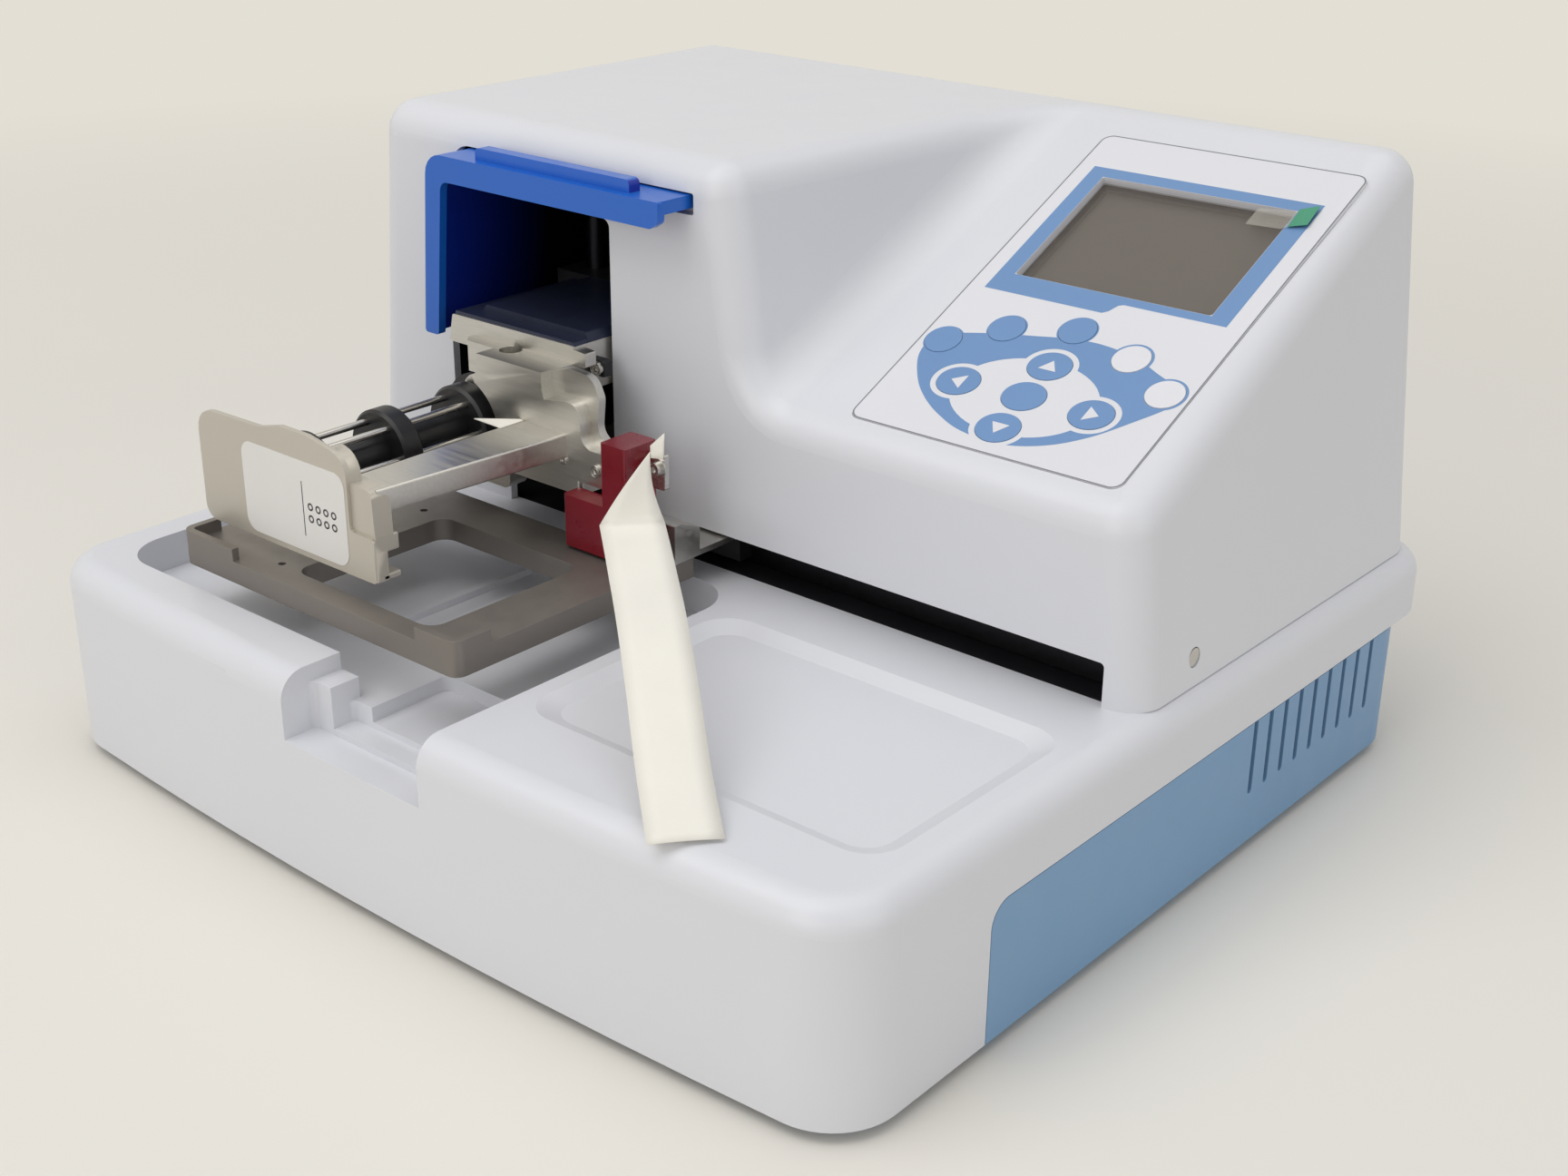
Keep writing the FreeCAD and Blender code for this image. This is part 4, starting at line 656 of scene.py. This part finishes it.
def place_form(name, mesh, look, body, edge=0.4, stands_for=(), steps=2):
    """Piece from a mesh, with edges softened by the given width or left sharp at 0."""
    mesh.name = name
    mesh.materials.clear()
    mesh.materials.append(LOOKS[look].material)
    mesh.shade_smooth()
    piece = bpy.data.objects.new(name, mesh)
    bpy.context.scene.collection.objects.link(piece)
    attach(piece, body)
    if edge:
        soften_edges(piece, edge, steps)
    else:
        keep_corners(mesh)
    if stands_for:
        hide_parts(*stands_for)


# Rotor cover: rim, thin shell behind it and a rounded grip set back from the rim

COVER_FRONT, COVER_BACK = -36.0, 75.9
COVER_TOP, COVER_BOTTOM = 199.0, 134.0
COVER_RIGHT = -5.2


def cheek(z, inset=0.0):
    return -121.3 + 5.5 * (z - COVER_BOTTOM) / (COVER_TOP - COVER_BOTTOM) + inset


def cover_outline(side, band, right, lip, corner):
    """Bent band: left wall and top, open below and to the right."""
    inner = COVER_TOP - band
    return [(cheek(COVER_BOTTOM), COVER_BOTTOM, 1.2), (cheek(COVER_TOP), COVER_TOP, corner),
            (right, COVER_TOP, 0.8), (right, inner + lip, 2.5), (right - 3.5, inner, 1.5),
            (cheek(COVER_TOP, side), inner, corner * 0.45),
            (cheek(COVER_BOTTOM, side), COVER_BOTTOM, 1.2)]


def rotor_cover():
    rim = prism("XZ", COVER_FRONT, COVER_FRONT + 3.2, cover_outline(7.1, 9.0, COVER_RIGHT, 2.2, 8.0))
    shell = prism("XZ", COVER_FRONT + 2.6, COVER_BACK, [
        (cheek(COVER_BOTTOM), COVER_BOTTOM), (cheek(COVER_TOP), COVER_TOP, 8),
        (COVER_RIGHT, COVER_TOP), (COVER_RIGHT, 194.6),
        (cheek(194.6, 2.6), 194.6, 5.4), (cheek(COVER_BOTTOM, 2.6), COVER_BOTTOM)])
    grip = prism("XZ", COVER_FRONT + 3.6, COVER_FRONT + 8.6, [
        (-94, COVER_TOP - 1), (-94, 203.2, 2.0), (-21, 203.2, 2.0), (-21, COVER_TOP - 1)])
    mesh = combined(rim, joins=(shell, grip))
    place_form("rotor_cover_shell", mesh, "cover_blue", "rotor_cover", 0.9, ("rotor_cover",), 3)
    # Inward faces behind the rim get the inner material, with its painted shade.
    mesh.materials.append(LOOKS["cover_inside_painted_shade"].material)
    behind_rim = (COVER_FRONT + 3.3) * MM
    for face in mesh.polygons:
        looks_inward = face.normal.x > 0.6 or face.normal.z < -0.6
        if looks_inward and face.center.y > behind_rim and face.center.x < COVER_RIGHT * MM:
            face.material_index = 1


rotor_cover()

# Pump head: upper block with its top plate, painted dark navy as shade and blue reflection under the cover,
# rear plate without its upper left corner

BLOCK_FACE, BLOCK_BACK = -38.0, 20.0
LEDGE_TOP = 138.8
LEDGE_HOLE = (-70.4, -41.5)


def upper_block():
    face = [(-106.0, LEDGE_TOP - 4.5, 0.5), (-103.8, 144.4, 1.0), (-43.4, 144.8, 0.8), (-43.0, 127.9),
            (-92.8, 127.9), (-92.8, LEDGE_TOP - 4.5)]
    lower = prism("XZ", -43.9, BLOCK_FACE + 1, rectangle(-92.8, -43.2, 127.9, LEDGE_TOP))
    lug = prism("XZ", BLOCK_FACE, BLOCK_FACE + 5, [
        (-44.0, 138.2), (-37.6, 138.2, 0.6), (-37.6, 143.2, 0.8), (-41.6, 143.6, 0.5), (-44.0, 143.6)])
    hole = rod("z", LEDGE_HOLE, LEDGE_TOP - 5, LEDGE_TOP + 3, 4.0)
    corner = prism("XY", 120, 150, [(-110, -60), (-74, -60), (-93.5, -40), (-110, -40)])
    mesh = combined(prism("XZ", BLOCK_FACE, BLOCK_BACK, face), joins=(lower, lug), cuts=(hole, corner))
    place_form("upper_block", mesh, "aluminium", "pump_head", 0.5, ("pump_upper_block",))
    step = prism("XZ", -30.6, BLOCK_BACK, [
        (-96.5, 145.0), (-94.0, 147.9, 1.0), (-45.0, 147.9, 1.0), (-43.5, 145.0)])
    sheet = prism("XZ", BLOCK_FACE + 0.8, BLOCK_BACK, [
        (-103.2, 144.2), (-102.8, 145.6, 0.5), (-44.0, 145.8, 0.5), (-43.4, 144.4)])
    # The top plate and its step get the dark navy colour of painted shade and blue reflection.
    place_form("block_top_plate", combined(sheet, joins=(step,)), "painted_shade_blue_reflection", "pump_head", 0.4)


def rear_plate():
    mesh = NODES["pump_rear_plate"].data.copy()
    missing = prism("XZ", -60, -40, [
        (-100, 150), (-76, 150), (-76.5, 131.7, 3), (-87, 127.4, 3), (-94.5, 121.0), (-100, 121.0)])
    corner = prism("XY", 120, 150, [(-100, -56), (-70.5, -56), (-93.5, -43.5), (-100, -43.5)])
    hole = rod("z", LEDGE_HOLE, LEDGE_TOP - 5, LEDGE_TOP + 3, 4.0)
    place_form("rear_plate", combined(mesh, cuts=(missing, corner, hole)), "aluminium", "pump_head",
               0.0, ("pump_rear_plate",))


def cap_screw(x, y, z, radius, height):
    """Socket head that looks to the front, its seat at y."""
    head = rod("y", (x, z), y - height, y, radius)
    hexagon = prism("XZ", y - height - 1, y - height * 0.4, oval(x, z, radius * 0.5, radius * 0.5, 6))
    groove = combined(rod("y", (x, z), y - height - 1, y - height * 0.75, radius * 0.82),
                      cuts=(rod("y", (x, z), y - height - 2, y, radius * 0.68),))
    return combined(head, cuts=(hexagon, groove))


def head_screws():
    ring = cap_screw(-38.6, -31.0, 136.6, 2.4, 1.6)
    # The ear behind the ring screw gets the near-black liner colour as painted shade.
    ear = prism("XZ", -31.0, -27.0, [
        (-44.5, 133.6, 1), (-35.8, 133.6, 1), (-35.8, 139.4, 1), (-44.5, 139.4, 1)])
    place_form("head_ear", ear, "liner", "pump_head", 0.5)
    lower = (cap_screw(-34.6, -52.0, 110.5, 1.6, 0.6), cap_screw(-19.4, -52.0, 110.2, 2.2, 1.0))
    screws = combined(ring, joins=lower)
    place_form("head_screws", screws, "steel", "pump_head", 0.15, ("pump_screws",))


upper_block()
rear_plate()
head_screws()

# Front plate: thin sheet, thick right end with a shoulder, and a foot notched behind its face

PLATE_FRONT = -130.5
PLATE_OUTLINE = [(-126.4, 89.5, 5), (-126.4, 128.3, 8), (-93, 129.0, 8), (-82, 131.8, 8), (-68, 131.8, 8),
                 (-49.5, 128.6, 8), (-49.5, 104.5, 2), (-38.7, 104.5, 1.2), (-38.7, 89.5, 0.8)]
BAR_FRONT, BAR_BACK = -128.2, -52.0


def front_plate():
    sheet = prism("XZ", PLATE_FRONT, PLATE_FRONT + 2.0, PLATE_OUTLINE)
    thick = prism("XZ", PLATE_FRONT + 1, PLATE_FRONT + 6.0, [
        (-58.0, 89.5), (-58.0, 130.06), (-49.5, 128.6, 8), (-49.5, 104.5), (-38.7, 104.5, 1.2),
        (-38.7, 98.7, 0.5), (-43.5, 98.7), (-43.5, 94.2), (-43.5, 89.5)])
    web = prism("XZ", PLATE_FRONT + 1, PLATE_FRONT + 5.6, rectangle(-46, -38.7, 89.5, 104.5))
    top_flange = prism("XZ", PLATE_FRONT + 4, -120.3, rectangle(-50.0, -38.7, 98.7, 104.5, 0.9))
    low_flange = prism("XZ", PLATE_FRONT + 4, -120.3, rectangle(-50.0, -38.7, 89.5, 91.4, 0.5))
    seat = rod("y", (-85.5, 110.8), PLATE_FRONT + 1, -124.2, 6.5)
    shoulder = prism("XZ", PLATE_FRONT + 1.2, -122.0, [
        (-56.0, 103.0), (-38.7, 103.0), (-39.4, 120.0, 3.0), (-56.0, 120.2)])
    mesh = combined(sheet, joins=(thick, web, top_flange, low_flange, seat, shoulder))
    place_form("front_plate", mesh, "cast_coat", "pump_head", 0.7, ("pump_front_plate",), 3)


def tension_bar():
    near = [(-54.7, 111.4), (-39.6, 111.4, 0.8), (-39.6, 119.6, 0.8), (-54.7, 119.6)]
    far = [(-54.7, 111.4), (-33.4, 111.4, 0.8), (-33.4, 119.8, 0.8), (-54.7, 119.8)]
    place_form("tension_beam", prism("XZ", BAR_FRONT + 1.5, BAR_BACK, near, far), "aluminium", "pump_head",
               0.0, ("tension_bar",))


front_plate()
tension_bar()

# Plate carrier: frame with its window, corner lips and a rebate for the arm

CARRIER_FLOOR, CARRIER_LIP = 83.7, 88.0
CARRIER_EDGES = (-127.0, 10.0, -141.0, -50.0)
LIP_WALL = 2.6


def corner_lip(x_from, x_end, y_from, y_end):
    """L-shaped wall on the frame's edge: from a corner to an end on each side."""
    x_in = x_from + math.copysign(LIP_WALL, x_end - x_from)
    y_in = y_from + math.copysign(LIP_WALL, y_end - y_from)
    return prism("XY", CARRIER_FLOOR - 1, CARRIER_LIP, [
        (x_from, y_from, 4.0), (x_end, y_from), (x_end, y_in),
        (x_in, y_in, 1.6), (x_in, y_end), (x_from, y_end)])


def plate_carrier():
    left, right, front, back = CARRIER_EDGES
    frame_form = prism("XY", 76.0, CARRIER_FLOOR, [
        (left, front, 4), (right, front, 4), (right, -36.5, 1), (-24.0, -36.5, 2), (-24.0, back, 2),
        (left, back, 4)])
    lips = [corner_lip(left, -99.0, front, -127.0), corner_lip(right, -8.5, front, -126.5),
            corner_lip(left, -105.0, back, -67.6), corner_lip(right, -12.0, back, -67.6)]
    window = prism("XY", 70, 90, rectangle(-77.9, -10.8, -132.3, -69.0, 5.5))
    rebate = prism("XY", 82.95, 90, rectangle(-18.0, 15.0, -49.2, -30.0))
    holes = [rod("z", place, 80, 90, 1.3, 20)
             for place in ((-85.7, -131.3), (6.0, -133.0), (-87.6, -69.6))]
    mesh = combined(frame_form, joins=lips, cuts=(window, rebate, *holes))
    place_form("carrier_frame", mesh, "grey_coat", "plate_carriage", 0.35, ("plate_carrier",))


plate_carrier()

# Edge line round the keypad panel, and a dark sheet of painted shade on the floor of the slot behind the
# tower's face


def panel_edge():
    wide, high, line = 50.0, 157.7, 0.45
    outer = rounded([(-wide, 0, 4), (wide, 0, 4), (wide, high, 4), (-wide, high, 4)], 8)
    inner = rounded([(line - wide, line, 3.6), (wide - line, line, 3.6), (wide - line, high - line, 3.6),
                     (line - wide, high - line, 3.6)], 8)
    hole = inside_loop([tuple(point) for point in inner])
    flat_print("panel_edge", [outer, inner], lambda point: not hole(point),
               lambda u, v: on_panel(u, v, PANEL_FACE + 0.03), "panel_edge", "base")


def slot_painted_shade():
    # Thin near-black sheet on the base's top inside the slot: painted shade.
    sheet = prism("XY", 71.72, 71.88, rectangle(-125.0, 158.0, -18.0, 60.0))
    place_form("slot_painted_shade", sheet, "liner", "base", 0.0)


panel_edge()
slot_painted_shade()


# Floor, background and lights

BACKGROUND = srgb(227, 223, 213)
FLOOR_RADIUS = 12.0
FADE_FROM, FADE_TO = 0.45, 1.3
AMBIENT_COLOR = (0.95, 0.96, 1.0, 1.0)
AMBIENT_STRENGTH = 0.42


def make_stage():
    """Round floor that keeps the shadow near the object and fades into the background further out."""
    look = Look("stage", srgb(236, 232, 223), 0.7).drift(3, 0.008)
    LOOKS["stage"] = look
    glow = look.add("ShaderNodeEmission")
    glow.inputs["Color"].default_value = BACKGROUND
    length = look.add("ShaderNodeVectorMath", operation="LENGTH")
    look.link(look.place, length.inputs[0])
    fade = look.span(length.outputs["Value"], 0.0, 1.0, FADE_FROM, FADE_TO)
    seen = look.add("ShaderNodeLightPath").outputs["Is Camera Ray"]
    share = look.add("ShaderNodeMath", operation="MULTIPLY")
    look.link(fade, share.inputs[0])
    look.link(seen, share.inputs[1])
    blend = look.add("ShaderNodeMixShader")
    look.link(share.outputs[0], blend.inputs[0])
    look.link(look.shader.outputs[0], blend.inputs[1])
    look.link(glow.outputs[0], blend.inputs[2])
    result = next(node for node in look.nodes if node.type == "OUTPUT_MATERIAL")
    look.link(blend.outputs[0], result.inputs["Surface"])
    circle = oval(0.0, 0.0, FLOOR_RADIUS, FLOOR_RADIUS, 64)
    mesh = bpy.data.meshes.new("stage")
    mesh.from_pydata([(x, y, 0.0) for x, y in circle], [], [tuple(range(len(circle)))])
    mesh.materials.append(look.material)
    floor = bpy.data.objects.new("stage", mesh)
    bpy.context.scene.collection.objects.link(floor)


def area_light(name, place, aim, size, power, color=(1, 1, 1)):
    data = bpy.data.lights.new(name, "AREA")
    data.shape = "RECTANGLE"
    data.size, data.size_y = size
    data.energy = power
    data.color = color
    lamp = bpy.data.objects.new(name, data)
    place, aim = Vector(place), Vector(aim)
    lamp.rotation_euler = (aim - place).to_track_quat("-Z", "Y").to_euler()
    lamp.location = place
    bpy.context.scene.collection.objects.link(lamp)


def make_lights():
    area_light("key", (-0.5, -1.0, 1.9), (0, 0, 0.1), (1.6, 1.6), 15, (1.0, 0.99, 0.97))
    area_light("top", (0.3, 0.4, 2.2), (0, 0, 0), (2.2, 2.2), 12, (1.0, 1.0, 1.0))
    area_light("side", (1.9, -0.2, 0.9), (0, 0, 0.1), (1.4, 1.2), 4, (0.98, 0.99, 1.0))
    area_light("front", (0.1, -2.0, 0.8), (0, 0, 0.15), (1.4, 1.0), 6.5, (1.0, 0.99, 0.98))
    world = bpy.data.worlds.new("world")
    world.use_nodes = True
    nodes, links = world.node_tree.nodes, world.node_tree.links
    ambient = nodes["Background"]
    ambient.inputs["Color"].default_value = AMBIENT_COLOR
    ambient.inputs["Strength"].default_value = AMBIENT_STRENGTH
    backdrop = nodes.new("ShaderNodeBackground")
    backdrop.inputs["Color"].default_value = BACKGROUND
    rays = nodes.new("ShaderNodeLightPath")
    seen = rays.outputs["Is Camera Ray"]
    for ray in ("Is Glossy Ray", "Is Transmission Ray"):
        either = nodes.new("ShaderNodeMath")
        either.operation = "MAXIMUM"
        links.new(seen, either.inputs[0])
        links.new(rays.outputs[ray], either.inputs[1])
        seen = either.outputs[0]
    blend = nodes.new("ShaderNodeMixShader")
    links.new(seen, blend.inputs[0])
    links.new(ambient.outputs[0], blend.inputs[1])
    links.new(backdrop.outputs[0], blend.inputs[2])
    links.new(blend.outputs[0], nodes["World Output"].inputs["Surface"])
    bpy.context.scene.world = world


make_stage()
make_lights()
bpy.context.scene.view_settings.view_transform = "Standard"
